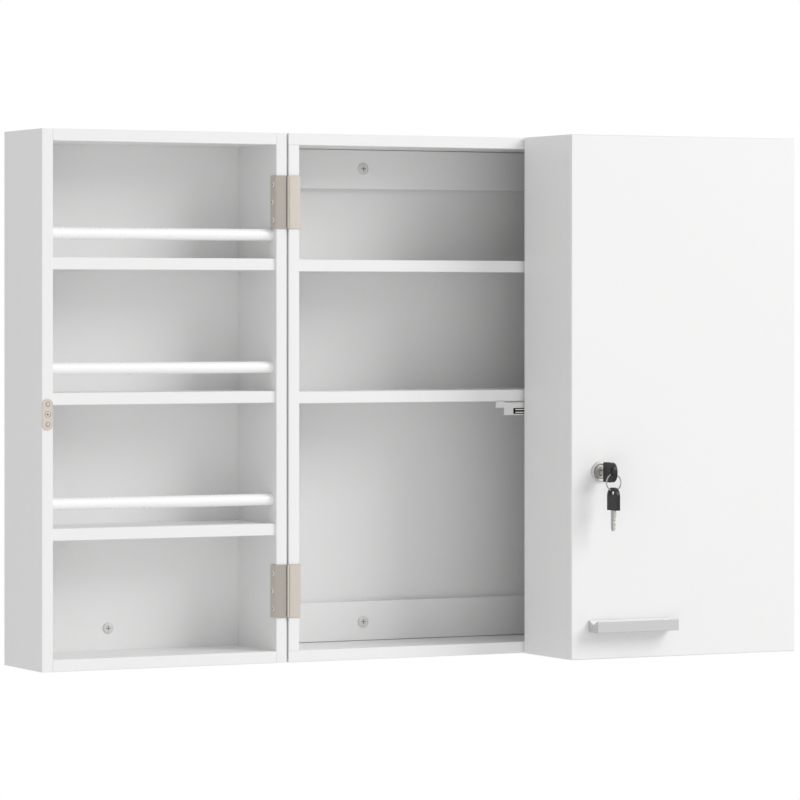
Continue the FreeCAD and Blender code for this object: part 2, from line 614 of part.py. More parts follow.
def door():
    """The pieces of the shut right door without its lock, by name."""
    recess = DOOR_BACK - SHELF_RECESS
    shelves, rails, grooves, sockets = [], [], [], []
    for step in (-1, 0, 1):
        level = step * SHELF_PITCH + DOOR_SHELF_LIFT
        shelf, cuts = tongued_board((FREE_INNER, PANEL_BACK, level - BOARD / 2),
                                    (INNER_SIDE, recess, level + BOARD / 2), 0, 2)
        shelves.append(eased(shelf, recess))
        grooves += cuts
        start = (FREE_INNER - RAIL_SOCKET, DOOR_BACK - RAIL_SETBACK, level + BOARD / 2 + RAIL_LIFT)
        run = INNER_SIDE - FREE_INNER + 2 * RAIL_SOCKET
        room = around(RAIL_RADIUS + RAIL_SLACK, SOCKET_SIDES)
        socket = faceted([(room, -RAIL_SLACK), (room, run + RAIL_SLACK)], SOCKET_SIDES)
        sockets.append(placed(socket, start, (1, 0, 0)))
        rails.append(Part.makeCylinder(RAIL_RADIUS, run, FreeCAD.Vector(*start), FreeCAD.Vector(1, 0, 0)))

    ends = []
    for low_z, high_z in ((-TOP, -INNER_TOP), (INNER_TOP, TOP)):
        end, cuts = tongued_board((FREE_INNER, PANEL_BACK, low_z), (INNER_SIDE, DOOR_BACK, high_z), 0, 2)
        ends.append(eased(end, DOOR_BACK))
        grooves += cuts

    free_side = block((FREE_EDGE, PANEL_BACK, -TOP), (FREE_INNER, DOOR_BACK, TOP))
    free_side = free_side.makeChamfer(
        EDGE_BEVEL, upright(free_side, FREE_EDGE, DOOR_BACK) + upright(free_side, FREE_INNER, DOOR_BACK))
    hinge_side = block((INNER_SIDE, PANEL_BACK, -TOP), (SIDE, DOOR_BACK, TOP))
    hinge_side = hinge_board(hinge_side, DOOR_BACK)
    for room in grooves + sockets:
        free_side = free_side.cut(room)
        hinge_side = hinge_side.cut(room)
    screws = []
    for point in leaf_screw_places():
        hole = on_door(placed(wood_screw(SCREW_PLAY), point, (1, 0, 0)))
        hinge_side = hinge_side.cut(hole)
        screws.append(on_door(placed(wood_screw(), point, (1, 0, 0))))
    free_side = free_side.cut(placed(wood_screw(SCREW_PLAY), strike_screw_place(), (0, -1, 0)))
    screws.append(placed(wood_screw(), strike_screw_place(), (0, -1, 0)))

    panel = block((FREE_EDGE, DOOR_FACE, -TOP), (SIDE, PANEL_BACK, TOP))
    panel = panel.makeChamfer(DOOR_FRONT_BEVEL, [
        edge for axis in ("x", "z") for edge in edges_along(panel, axis, lambda m: same(m.y, DOOR_FACE))
    ])
    handle_screws = []
    for point in handle_screw_places():
        panel = drill(panel, HANDLE_SCREW_RADIUS + SCREW_PLAY, point, (0, -1, 0), 2 * DOOR_FRONT)
        screw = pan_head(HANDLE_SCREW_HEAD_RADIUS, HANDLE_SCREW_HEAD_HEIGHT, HANDLE_SCREW_RADIUS,
                         DOOR_FRONT + HANDLE_SCREW_REACH)
        handle_screws.append(placed(screw, point, (0, -1, 0)))

    pieces = {
        "door_front": panel,
        "door_free_side": free_side,
        "door_hinge_side": hinge_side,
        "door_bottom": ends[0],
        "door_top": ends[1],
        "door_handle": handle(),
        "door_handle_screws": Part.makeCompound(handle_screws),
        "door_strike": strike(),
        "door_wood_screws": Part.makeCompound(screws),
    }
    for name, shelf, rail in zip(("lower", "middle", "upper"), shelves, rails):
        pieces["door_" + name + "_shelf"] = shelf
        pieces["door_" + name + "_rail"] = rail
    return pieces


# Lock, drawn with the door's face at height 0 and the inside of the door along +Z

def in_lock(shape):
    """A lock piece moved into the right door."""
    return placed(shape, (LOCK_X, DOOR_FACE, LOCK_Z), (0, 1, 0))


def lock_housing():
    """The rosette and the round body, bored for the plug."""
    inside = around(PLUG_RADIUS + PLUG_PLAY, LOCK_SIDES)
    flange = around(PLUG_FLANGE_RADIUS + PLUG_PLAY, LOCK_SIDES)
    seat = -ROSETTE + PLUG_RECESS + PLUG_FLANGE + PLUG_PLAY
    housing = faceted([
        (ROSETTE_RADIUS, -ROSETTE),
        (ROSETTE_RADIUS, 0),
        (LOCK_BODY_RADIUS, 0),
        (LOCK_BODY_RADIUS, LOCK_BODY_LENGTH),
    ], LOCK_SIDES)
    room = faceted([
        (flange, -ROSETTE),
        (flange, seat),
        (inside, seat),
        (inside, LOCK_BODY_LENGTH),
    ], LOCK_SIDES)
    return in_lock(housing.cut(room))


def lock_nut():
    """The hexagon nut that clamps the lock from inside the door."""
    corner = around(LOCK_NUT_WIDTH / 2, 6)
    nut = faceted([(corner, DOOR_FRONT), (corner, DOOR_FRONT + LOCK_NUT)], 6)
    nut = drill(nut, LOCK_BODY_RADIUS + PLUG_PLAY, (0, 0, 0), (0, 0, 1), LOCK_BODY_LENGTH, LOCK_SIDES)
    return in_lock(nut)


def lock_plug():
    """The turning plug with its keyway, a square end for the cam and a hole for the cam's screw."""
    front = -ROSETTE + PLUG_RECESS
    shoulder = LOCK_BODY_LENGTH + CAM_GAP
    neck = front + PLUG_FLANGE
    plug = faceted([(PLUG_FLANGE_RADIUS, front), (PLUG_FLANGE_RADIUS, neck)], LOCK_SIDES)
    plug = plug.fuse(Part.makeCylinder(PLUG_RADIUS, shoulder - neck, FreeCAD.Vector(0, 0, neck)))
    half = PLUG_SQUARE / 2
    plug = plug.fuse(block((-half, -half, shoulder), (half, half, shoulder + CAM)))
    wide, thick = KEY_BLADE_WIDTH / 2 + KEYWAY_PLAY, KEY_BLADE / 2 + KEYWAY_PLAY
    tip = KEY_BLADE_LENGTH - KEY_STANDOFF + KEYWAY_PLAY
    plug = plug.cut(block((-thick, -wide, front), (thick, wide, tip)))
    return in_lock(drill(plug, CAM_SCREW_RADIUS + SCREW_PLAY, (0, 0, shoulder + CAM), (0, 0, -1),
                         CAM_SCREW_LENGTH + SCREW_PLAY))


def lock_cam():
    """The flat cam on the plug's square end, its tongue upright while the lock is open."""
    half = CAM_WIDTH / 2
    hub = faceted([(CAM_HUB_RADIUS, 0), (CAM_HUB_RADIUS, CAM)], LOCK_SIDES)
    hub = placed(hub, (LOCK_X, CAM_FRONT, LOCK_Z), (0, 1, 0))
    tongue = block((LOCK_X - half, CAM_FRONT, LOCK_Z), (LOCK_X + half, CAM_FRONT + CAM, LOCK_Z + CAM_REACH))
    corners = edges_along(tongue, "y", lambda m: same(m.z, LOCK_Z + CAM_REACH))
    cam = hub.fuse(tongue.makeChamfer(CAM_BEVEL, corners))
    seat = PLUG_SQUARE / 2 + PLUG_PLAY
    hole = block((LOCK_X - seat, CAM_FRONT, LOCK_Z - seat), (LOCK_X + seat, CAM_FRONT + CAM, LOCK_Z + seat))
    return cam.cut(hole).removeSplitter()


def cam_screw():
    """The hexagon screw that holds the cam on the plug."""
    corner = around(CAM_SCREW_HEAD_WIDTH / 2, 6)
    screw = faceted([(corner, -CAM_SCREW_HEAD), (corner, 0)], 6)
    shank = faceted([(CAM_SCREW_RADIUS, 0), (CAM_SCREW_RADIUS, CAM_SCREW_LENGTH)], PAN_SCREW_SIDES)
    return placed(screw.fuse(shank), (LOCK_X, CAM_FRONT + CAM, LOCK_Z), (0, -1, 0))


# Keys, drawn hanging: the hole at the origin, the blade down along Z, the flat of the key across X

def key_blade():
    """The flat blade with its notches and the tang inside the head."""
    start = KEY_HOLE_FROM_END - KEY_HEAD_LENGTH
    end = start - KEY_BLADE_LENGTH
    half, tang = KEY_BLADE_WIDTH / 2, KEY_TANG_WIDTH / 2
    point = end + KEY_POINT
    notches = []
    for i in range(KEY_NOTCHES):
        depth = KEY_NOTCH_DEPTH * (1.0 if i % 2 else SHALLOW_NOTCH)
        middle = point + (i + 0.5) * KEY_NOTCH_PITCH
        notches += [(-half, middle - KEY_NOTCH_PITCH / 2), (depth - half, middle)]
    tip = half * KEY_TIP_SHARE
    outline = [(half, start), (half, point), (tip, end), (-tip, end)]
    outline += notches + [(-half, point + KEY_NOTCHES * KEY_NOTCH_PITCH), (-half, start)]
    tang_end = start + KEY_TANG_LENGTH
    outline += [(-tang, start), (-tang, tang_end), (tang, tang_end), (tang, start)]
    points = [FreeCAD.Vector(-KEY_BLADE / 2, y, z) for y, z in outline]
    return Part.Face(Part.makePolygon(points + points[:1])).extrude(FreeCAD.Vector(KEY_BLADE, 0, 0))


def key_head():
    """The moulded head: square at the blade, arched at the other end, with a hole for the ring."""
    low, high = KEY_HOLE_FROM_END - KEY_HEAD_LENGTH, KEY_HOLE_FROM_END
    half, spring = KEY_HEAD_WIDTH / 2, high - KEY_HEAD_ARCH

    def at(y, z):
        return FreeCAD.Vector(-KEY_HEAD / 2, y, z)

    outline = Part.Wire([
        Part.LineSegment(at(half, spring), at(half, low)).toShape(),
        Part.LineSegment(at(half, low), at(-half, low)).toShape(),
        Part.LineSegment(at(-half, low), at(-half, spring)).toShape(),
        Part.Arc(at(-half, spring), at(0, high), at(half, spring)).toShape(),
    ])
    head = Part.Face(outline).extrude(FreeCAD.Vector(KEY_HEAD, 0, 0))
    head = head.makeChamfer(KEY_HEAD_BEVEL, edges_along(head, "x", lambda middle: same(middle.z, low)))
    head = drill(head, KEY_HOLE_RADIUS, (-KEY_HEAD, 0, 0), (1, 0, 0), 2 * KEY_HEAD, SOCKET_SIDES)
    return head.cut(key_blade())


def ring_drop():
    """How far below a key's hole centre the ring's wire rests, with the head's thickness inside the ring."""
    inside = (RING_RADIUS - RING_WIRE / 2) * math.cos(math.pi / RING_SIDES)
    sag = RING_RADIUS - math.sqrt(inside ** 2 - (KEY_HEAD / 2) ** 2)
    return KEY_HOLE_RADIUS - RING_PLAY - math.hypot(sag, RING_WIRE / 2)


def keys():
    """Both keys and their ring by name."""
    drop = ring_drop()
    ring_centre = LOCK_Z - drop - RING_RADIUS
    spare_hole = ring_centre - RING_RADIUS - drop
    pieces = {}
    for piece, shape in (("blade", key_blade()), ("head", key_head())):
        inserted = shape.copy()
        inserted.rotate(FreeCAD.Vector(), FreeCAD.Vector(1, 0, 0), 90)
        inserted.translate(FreeCAD.Vector(LOCK_X, KEY_HOLE_Y, LOCK_Z))
        pieces["key_" + piece] = inserted
        spare = shape.copy()
        spare.translate(FreeCAD.Vector(LOCK_X, KEY_HOLE_Y, spare_hole))
        pieces["spare_key_" + piece] = spare
    half = RING_WIRE / 2
    ring = faceted([(RING_RADIUS + half, -half), (RING_RADIUS + half, half)], RING_SIDES)
    ring = ring.cut(faceted([(RING_RADIUS - half, -half), (RING_RADIUS - half, half)], RING_SIDES))
    pieces["key_ring"] = placed(ring, (LOCK_X, KEY_HOLE_Y, ring_centre), (0, 1, 0))
    return pieces


def cabinet():
    """Every piece of the cabinet by name."""
    pieces = carcass()
    pieces.update(hinges())
    pieces.update(catch())
    for name, shape in door().items():
        pieces["left_" + name] = opened_left(shape)
        pieces["right_" + name] = shape
    front = pieces["right_door_front"]
    pieces["right_door_front"] = drill(front, LOCK_BODY_RADIUS + LOCK_HOLE_PLAY, (LOCK_X, DOOR_FACE, LOCK_Z),
                                       (0, 1, 0), DOOR_FRONT, LOCK_SIDES)
    pieces["lock_housing"] = lock_housing()
    pieces["lock_nut"] = lock_nut()
    pieces["lock_plug"] = lock_plug()
    pieces["lock_cam"] = lock_cam()
    pieces["cam_screw"] = cam_screw()
    pieces.update(keys())
    return pieces


os.makedirs("parts", exist_ok=True)
for node, solid in cabinet().items():
    solid.exportStep(os.path.join("parts", node + ".step"))
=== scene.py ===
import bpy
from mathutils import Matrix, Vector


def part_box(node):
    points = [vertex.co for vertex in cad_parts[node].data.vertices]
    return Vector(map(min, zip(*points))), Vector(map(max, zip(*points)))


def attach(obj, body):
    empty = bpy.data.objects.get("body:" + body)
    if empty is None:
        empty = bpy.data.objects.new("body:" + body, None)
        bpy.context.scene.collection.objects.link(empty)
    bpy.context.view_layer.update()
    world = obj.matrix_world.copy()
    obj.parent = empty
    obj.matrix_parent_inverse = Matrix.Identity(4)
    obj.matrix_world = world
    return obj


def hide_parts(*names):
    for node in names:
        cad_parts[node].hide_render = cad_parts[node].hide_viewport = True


bl_info = {
    "name": "Medicine Cabinet Dressing",
    "version": (1, 0, 0),
    "blender": (4, 5, 0),
    "location": "3D View > Sidebar > Cabinet",
    "description": "Dresses the packed wall cabinet with finished fittings, materials and a studio stage",
    "category": "Object",
}

import math

import bmesh
import bpy
from bpy.props import FloatProperty, FloatVectorProperty, PointerProperty
from mathutils import Matrix, Vector

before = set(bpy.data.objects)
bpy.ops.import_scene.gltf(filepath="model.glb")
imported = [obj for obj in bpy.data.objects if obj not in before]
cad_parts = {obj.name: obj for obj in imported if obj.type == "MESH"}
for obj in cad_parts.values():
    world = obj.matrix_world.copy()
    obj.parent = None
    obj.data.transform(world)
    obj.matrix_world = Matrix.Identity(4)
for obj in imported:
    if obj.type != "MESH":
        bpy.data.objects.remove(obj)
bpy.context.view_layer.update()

FACING_ROOM = Vector((0, -1, 0))
FACING_WALL = Vector((0, 1, 0))
FACING_LEFT = Vector((-1, 0, 0))
FACING_RIGHT = Vector((1, 0, 0))
FACING_DOWN = Vector((0, 0, -1))
DOOR_INSIDES = {"left": FACING_ROOM, "right": FACING_WALL}  # the way that each door's inside faces at rest
AS_DRAWN = [Matrix.Identity(4)]  # the one place of a shape that is drawn where it belongs

DOOR_BOARDS = (
    "front", "free_side", "hinge_side", "bottom", "top", "lower_shelf", "middle_shelf", "upper_shelf",
)
CARCASS_BOARDS = (
    "carcass_top", "carcass_bottom", "carcass_side_left", "carcass_side_right",
    "lower_shelf", "upper_shelf", "lower_hanging_rail", "upper_hanging_rail",
)

# Finishes of pieces that have several, and the numbers by which their faces pick them
SMALL_SCREW = ("Screw Zinc", "Recess Painted Shade Dark", "Strike Nickel")
PAN_SCREW = ("Screw Satin", "Recess Painted Shade Grey")
LEAF_DETAILS = ("Flange Nickel Painted Light", "Sheared Ends Painted Shade", "Knuckle Nickel")
# Faces picked by RECESS mostly take a painted shade: screw recesses, keyway, catch window, key groove and
# strike moat; on the handle's groove they take a painted highlight.
MAIN = 0
RECESS = 1
PLATE = 2
FLANGE, SHEARED, KNUCKLE = 1, 2, 3

# Sides of round shapes, and steps of one turn of a coil
RAIL_SIDES = 64
WOOD_SCREW_SIDES = 24
FLUSH_SCREW_SIDES = 32
PAN_SCREW_SIDES = 40
THREAD_STEPS = 18
BARREL_SIDES = 32
PIN_SIDES = 24
STRIKE_SIDES = 64
STRIKE_HOLE_SIDES = 40
BUMP_SIDES = 32
LUG_SIDES = 40
ROSETTE_SIDES = 72
PLUG_SIDES = 64
KEY_SLOT_SIDES = 32
WIRE_SIDES = 12
RING_STEPS = 64
FLOOR_SIDES = 96

# A key blade's notches: place, as a share of the way from hole to tip, and depth in metres
BLADE_NOTCHES = (
    (0.66, 0.0018), (0.70, 0.0006), (0.75, 0.0026), (0.78, 0.0026),
    (0.82, 0.0008), (0.87, 0.0023), (0.91, 0.0013), (0.95, 0.0026),
)

# Limits of the mesh work
TOUCH = 1e-5  # measures that differ by less are one place
MERGE = 1e-6  # corners nearer than this are one corner
FLAT = 0.01  # faces that meet at less than this, in radians, are one face
SHARP = 0.7  # edges that turn by more than this, in radians, can be rounded
SMOOTH = math.radians(35)  # edges that turn by more are shaded sharp


# Where the CAD pieces are


def low(node):
    return Vector(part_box(node)[0])


def high(node):
    return Vector(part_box(node)[1])


def middle(node):
    return (low(node) + high(node)) / 2


def span(node):
    return high(node) - low(node)


# Mesh work


def near(one, other):
    return abs(one - other) < TOUCH


def centre(edge):
    return (edge.verts[0].co + edge.verts[1].co) / 2


def verts_of(geom):
    return [part for part in geom if isinstance(part, bmesh.types.BMVert)]


def edges_of(geom):
    return [part for part in geom if isinstance(part, bmesh.types.BMEdge)]


def edges_round(verts):
    return list({edge for vert in verts for edge in vert.link_edges})


def face_out(bm):
    bmesh.ops.recalc_face_normals(bm, faces=bm.faces[:])


def pull(bm, faces, way):
    """Extrudes faces along a way and returns the new corners."""
    raised = verts_of(bmesh.ops.extrude_face_region(bm, geom=faces)["geom"])
    bmesh.ops.translate(bm, vec=way, verts=raised)
    return raised


def pulled(outline, way):
    """A solid pulled from a flat outline of a few corners."""
    bm = bmesh.new()
    pull(bm, [bm.faces.new([bm.verts.new(corner) for corner in outline])], way)
    face_out(bm)
    return bm


def bevel(bm, geom, offset, segments, affect="EDGES"):
    """Rounds edges, or the corners of a flat outline."""
    bmesh.ops.bevel(
        bm, geom=geom, offset=offset, offset_type="OFFSET", affect=affect, segments=segments, profile=0.5,
        material=-1, clamp_overlap=affect == "EDGES",
    )


def soften(bm, offset, segments=2, where=lambda edge: True):
    """Rounds the sharp edges that a test picks."""
    bm.normal_update()
    sharp = [
        edge for edge in bm.edges
        if len(edge.link_faces) == 2 and edge.calc_face_angle() > SHARP and where(edge)
    ]
    bevel(bm, sharp, offset, segments)


def oblong(start, end):
    """Outline of an oblong between two opposite corners."""
    return [(start[0], start[1]), (end[0], start[1]), (end[0], end[1]), (start[0], end[1])]


def flat_oblong(width, height):
    """A flat oblong face with its middle at the origin."""
    bm = bmesh.new()
    bmesh.ops.create_grid(bm, x_segments=1, y_segments=1, size=0.5)
    bmesh.ops.scale(bm, vec=(width, height, 1), verts=bm.verts[:])
    return bm


def round_bar(radius, depth, sides, cap_ends=True):
    """A round bar along Z with its middle at the origin."""
    bm = bmesh.new()
    bmesh.ops.create_cone(bm, cap_ends=cap_ends, segments=sides, radius1=radius, radius2=radius, depth=depth)
    return bm


def circle(bm, radius, height, sides, place=(0, 0)):
    """A round rim, as its edges."""
    move = Matrix.Translation((*place, height))
    made = bmesh.ops.create_circle(bm, cap_ends=False, segments=sides, radius=radius, matrix=move)
    return edges_round(made["verts"])


def grown(bm, rim):
    """Extrudes a rim where it lies, and returns the new rim and its corners."""
    geom = bmesh.ops.extrude_edge_only(bm, edges=rim)["geom"]
    return edges_of(geom), verts_of(geom)


def carry_rim(bm, rim, rings):
    """Carries a round rim on through rings of radius and height, and returns the last rim."""
    start = rim[0].verts[0].co
    radius, height = start.xy.length, start.z
    for next_radius, next_height in rings:
        rim, corners = grown(bm, rim)
        scale = next_radius / radius
        bmesh.ops.scale(bm, vec=(scale, scale, 1), verts=corners)
        bmesh.ops.translate(bm, vec=(0, 0, next_height - height), verts=corners)
        radius, height = next_radius, next_height
    return rim


def ends_along_y(corners):
    """The corners at either end along Y, each with the sign of its end."""
    return [(sign, [corner for corner in corners if corner.co.y * sign > 0]) for sign in (-1, 1)]


def stretched_circle(bm, radius, half_run, sides):
    """A round rim drawn out along Y, as its edges."""
    rim = circle(bm, radius, 0, sides)
    corners = list({vert for edge in rim for vert in edge.verts})
    bmesh.ops.rotate(bm, matrix=Matrix.Rotation(math.pi / sides, 3, "Z"), verts=corners)
    for sign, end in ends_along_y(corners):
        bmesh.ops.translate(bm, vec=(0, sign * half_run, 0), verts=end)
    return rim


def carry_stretched(bm, rim, radius, half_run, rings):
    """Carries a drawn-out rim at height 0 on through rings of radius and height, and returns the last rim."""
    height = 0
    for next_radius, next_height in rings:
        rim, corners = grown(bm, rim)
        scale = next_radius / radius
        for sign, end in ends_along_y(corners):
            about_end = Matrix.Translation((0, -sign * half_run, 0))
            bmesh.ops.scale(bm, vec=(scale, scale, 1), space=about_end, verts=end)
        bmesh.ops.translate(bm, vec=(0, 0, next_height - height), verts=corners)
        radius, height = next_radius, next_height
    return rim


def close_rim(bm, rim):
    bmesh.ops.edgeloop_fill(bm, edges=rim)


def fill_between(bm, rims):
    """Fills the flat face that several rims bound."""
    bmesh.ops.triangle_fill(bm, use_beauty=True, use_dissolve=False, edges=rims)


def sink(bm, rim, corners, way, taper=1):
    """Fills between a rim and a ring of corners, and sinks the ring as a recess whose faces take the second
    finish, a painted shade.
    """
    lip = [bm.edges.new(pair) for pair in zip(corners, corners[1:] + corners[:1])]
    fill_between(bm, lip + rim)
    lid = bm.faces.new(corners)
    sunk = pull(bm, [lid], way)
    bmesh.ops.scale(bm, vec=(taper, taper, 1), verts=sunk)
    # The sunk faces take the piece's second finish, which paints the shade inside the recess.
    for face in {face for vert in sunk for face in vert.link_faces}:
        face.material_index = RECESS
    if lid.is_valid:
        bmesh.ops.delete(bm, geom=[lid], context="FACES_ONLY")


def sunk_face(bm, outline, radius, height, depth, taper, sides):
    """Makes a round face with a recess of the given outline, and returns its rim."""
    rim = circle(bm, radius, height, sides)
    sink(bm, rim, [bm.verts.new((x, y, height)) for x, y in outline], (0, 0, -depth), taper)
    return rim


def aim(place, way):
    """Turns a shape's Z towards a way and puts it in its place."""
    return Matrix.Translation(place) @ Vector(way).to_track_quat("Z", "Y").to_matrix().to_4x4()


def gather(*shapes):
    """One mesh from shapes and the places that each is repeated at."""
    whole = bmesh.new()
    for shape, places in shapes:
        pattern = bpy.data.meshes.new("pattern")
        shape.to_mesh(pattern)
        shape.free()
        for place in places:
            start = len(whole.verts)
            whole.from_mesh(pattern)
            bmesh.ops.transform(whole, matrix=place, verts=whole.verts[start:])
        bpy.data.meshes.remove(pattern)
    return whole


def add_piece(name, bm, finishes, body, slot, *stands_for):
    """Makes a mesh a piece that rides on a body and stands for CAD nodes."""
    bmesh.ops.remove_doubles(bm, verts=bm.verts[:], dist=MERGE)
    face_out(bm)
    mesh = bpy.data.meshes.new(name)
    bm.to_mesh(mesh)
    bm.free()
    mesh.shade_smooth()
    mesh.set_sharp_from_angle(angle=SMOOTH)
    for finish in finishes:
        mesh.materials.append(bpy.data.materials[finish])
    piece = bpy.data.objects.new(name, mesh)
    piece.modifiers.new("Even Shading", "WEIGHTED_NORMAL").keep_sharp = True
    bpy.context.scene.collection.objects.link(piece)
    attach(piece, body)
    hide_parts(*stands_for)


def paint(nodes, finish):
    """Gives CAD nodes a finish."""
    for name in nodes:
        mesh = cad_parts[name].data
        mesh.materials.clear()
        mesh.materials.append(bpy.data.materials[finish])


# Settings


def length(name, description, default):
    return FloatProperty(
        name=name, description=description, default=default, min=0, unit="LENGTH", precision=5)


def amount(name, description, default):
    return FloatProperty(name=name, description=description, default=default, min=0)


def direction(name, description, default):
    return FloatVectorProperty(name=name, description=description, default=default, subtype="DIRECTION")


def colour(name, description, default):
    return FloatVectorProperty(
        name=name, description=description, default=(*default, 1), size=4, min=0, max=1, subtype="COLOR")


class CabinetSizes(bpy.types.PropertyGroup):
    board_edge: length("Board edge", "Rounding of a board's outer edges", 0.0005)
    rail_end: length("Rail end", "Rounding of a guard rail's ends", 0.0008)

    hinge_length: length("Hinge length", "Height of one hinge", 0.054)
    hinge_bend: length("Hinge bend", "Outer rounding where a leaf wraps round the board", 0.0007)
    hinge_corner: length("Hinge corner", "Rounding of a flange's corners", 0.0015)
    hinge_shear: length("Hinge shear", "Bevel of a leaf's sheared upper and lower ends", 0.0008)
    hinge_edge: length("Hinge edge", "Rounding of a leaf's punched edges", 0.00012)
    frame_crease: length("Frame crease", "From the pin's middle to the end of a frame leaf's front", 0.0019)
    door_crease: length("Door crease", "From the pin's middle to the end of a door leaf's front", 0.0026)
    knuckle_gap: length("Knuckle gap", "Gap between two knuckles", 0.0003)
    knuckle_edge: length("Knuckle edge", "Width of a knuckle's outer end ring", 0.0002)
    knuckle_bore: length("Knuckle bore", "Radius of the bore in a knuckle's ends", 0.0011)
    knuckle_bore_depth: length("Knuckle bore depth", "Depth of the bore in a knuckle's ends", 0.0015)
    pin_edge: length("Pin edge", "Rounding of a hinge pin's ends", 0.0003)

    leaf_screw_setback: length("Leaf screw setback", "From the board's edge to a leaf's outer screws", 0.006)
    leaf_screw_stagger: length("Leaf screw stagger", "From the outer screws back to the middle one", 0.0015)
    leaf_screw_step: length("Leaf screw step", "Between two screws of a leaf", 0.018)
    wood_screw_head: length("Wood screw head", "Radius of a wood screw's head", 0.0026)
    wood_screw_shank: length("Wood screw shank", "Radius of a wood screw's shank", 0.0012)
    wood_screw_length: length("Wood screw length", "Length of a wood screw under its head", 0.0085)
    wall_screw_head: length("Wall screw head", "Radius of a wall screw's head", 0.006)
    wall_screw_dome: length("Wall screw dome", "Height of a wall screw's head", 0.0018)
    wall_screw_shank: length("Wall screw shank", "Radius of a wall screw's shank", 0.0017)
    wall_screw_thread: length("Wall screw thread", "Radius over a wall screw's thread", 0.00222)
    wall_screw_pitch: length("Wall screw pitch", "Pitch of a wall screw's thread", 0.0021)
    wall_screw_neck: length("Wall screw neck", "From a wall screw's seat to its thread", 0.003)
    wall_screw_bare: length("Wall screw bare", "Length of a wall screw that has no thread", 0.009)

    handle_edge: length("Handle edge", "Rounding of a handle's edges", 0.0006)
    handle_groove: length("Handle groove", "Width of the groove along a handle", 0.016)
    handle_groove_depth: length("Handle groove depth", "Depth of the groove along a handle", 0.0038)
    handle_screw_head: length("Handle screw head", "Radius of a handle screw's head", 0.0057)
    handle_screw_dome: length("Handle screw dome", "Height of a handle screw's head", 0.0014)
    handle_screw_shank: length("Handle screw shank", "Radius of a handle screw's shank", 0.0019)
    handle_screw_tip: length("Handle screw tip", "Radius of a handle screw's end", 0.0014)
    handle_screw_taper: length("Handle screw taper", "Length of the taper at a handle screw's end", 0.0006)

    strike_rim: length("Strike rim", "Width of a strike plate's raised rim and its rounding", 0.0005)
    strike_bump: length("Strike bump", "Radius of a strike plate's pressed bumps", 0.0019)
    strike_bump_step: length("Strike bump step", "From a strike plate's middle to a bump", 0.010)
    strike_moat: length("Strike moat", "Radius of the pressed moat round a bump", 0.0026)
    strike_moat_depth: length("Strike moat depth", "Depth of the pressed moat round a bump", 0.00025)
    strike_press: length("Strike press", "Height of a strike plate's pressed bumps", 0.00065)
    strike_hole: length("Strike hole", "Radius of a strike plate's screw hole", 0.0033)
    strike_screw: length("Strike screw", "Radius of the screw head in a strike plate", 0.0028)

    catch_plate: length("Catch plate", "Thickness of the catch's front plate", 0.002)
    catch_play: length("Catch play", "How far the front plate stops short of the CAD housing's ends", 0.0003)
    catch_front: length("Catch front", "Width of the catch's front between its ears", 0.041)
    catch_window: length("Catch window", "Width of the window for the magnet", 0.0202)
    catch_window_play: length("Catch window play", "Gap over and under the magnet", 0.0001)
    catch_slit: length("Catch slit", "Gap between the catch's front and the shelf over it", 0.0013)
    catch_block: length("Catch block", "Width of the catch's body behind its front plate", 0.024)
    catch_block_rise: length("Catch block rise", "From the front plate's lower edge up to the body's", 0.0005)
    catch_block_drop: length("Catch block drop", "How far body and lugs' bar stay below the shelf", 0.002)
    catch_ear: length("Catch ear", "Height of the catch's ears", 0.0067)
    catch_ear_inset: length("Catch ear inset", "From an ear's end to its screw", 0.0069)
    catch_lug: length("Catch lug", "Width of a lug's ring round its screw head", 0.0004)
    catch_pole: length("Catch pole", "Thickness of a pole plate", 0.0009)
    catch_pole_edge: length("Catch pole edge", "Rounding of a pole plate's edges", 0.0001)
    catch_edge: length("Catch edge", "Rounding of the catch's edges", 0.0003)

    rosette_radius: length("Rosette radius", "Radius of the lock's rosette", 0.0105)
    rosette_height: length("Rosette height", "How far the rosette stands off the door", 0.003)
    dish_radius: length("Dish radius", "Radius of the rosette's dished mouth", 0.0081)
    dish_floor: length("Dish floor", "Radius of the dish at its floor", 0.0074)
    lock_body: length("Lock body", "Radius of the lock's body inside the door", 0.0085)
    lock_chamfer: length("Lock chamfer", "Bevel at the end of the lock's body", 0.0005)
    lock_bore: length("Lock bore", "Radius of the bore for the plug", 0.0062)
    plug_seat: length("Plug seat", "Radius of the recess for the plug's face", 0.0071)
    plug_face: length("Plug face", "Radius of the plug's face", 0.00695)
    plug_face_edge: length("Plug face edge", "Width of the rounding of the plug's face", 0.00055)
    plug_recess: length("Plug recess", "How far the plug's face stands behind the rosette's", 0.001)
    plug_radius: length("Plug radius", "Radius of the plug in its bore", 0.006)
    plug_proud: length("Plug proud", "How far the plug reaches out of the lock's body", 0.0003)
    plug_square: length("Plug square", "Side of the plug's square end", 0.0066)
    plug_square_edge: length("Plug square edge", "Rounding of the plug's square end", 0.0003)
    keyway_width: length("Keyway width", "Width of the keyway", 0.003)
    keyway_height: length("Keyway height", "Height of the keyway", 0.0084)
    keyway_depth: length("Keyway depth", "Depth of the keyway", 0.0165)

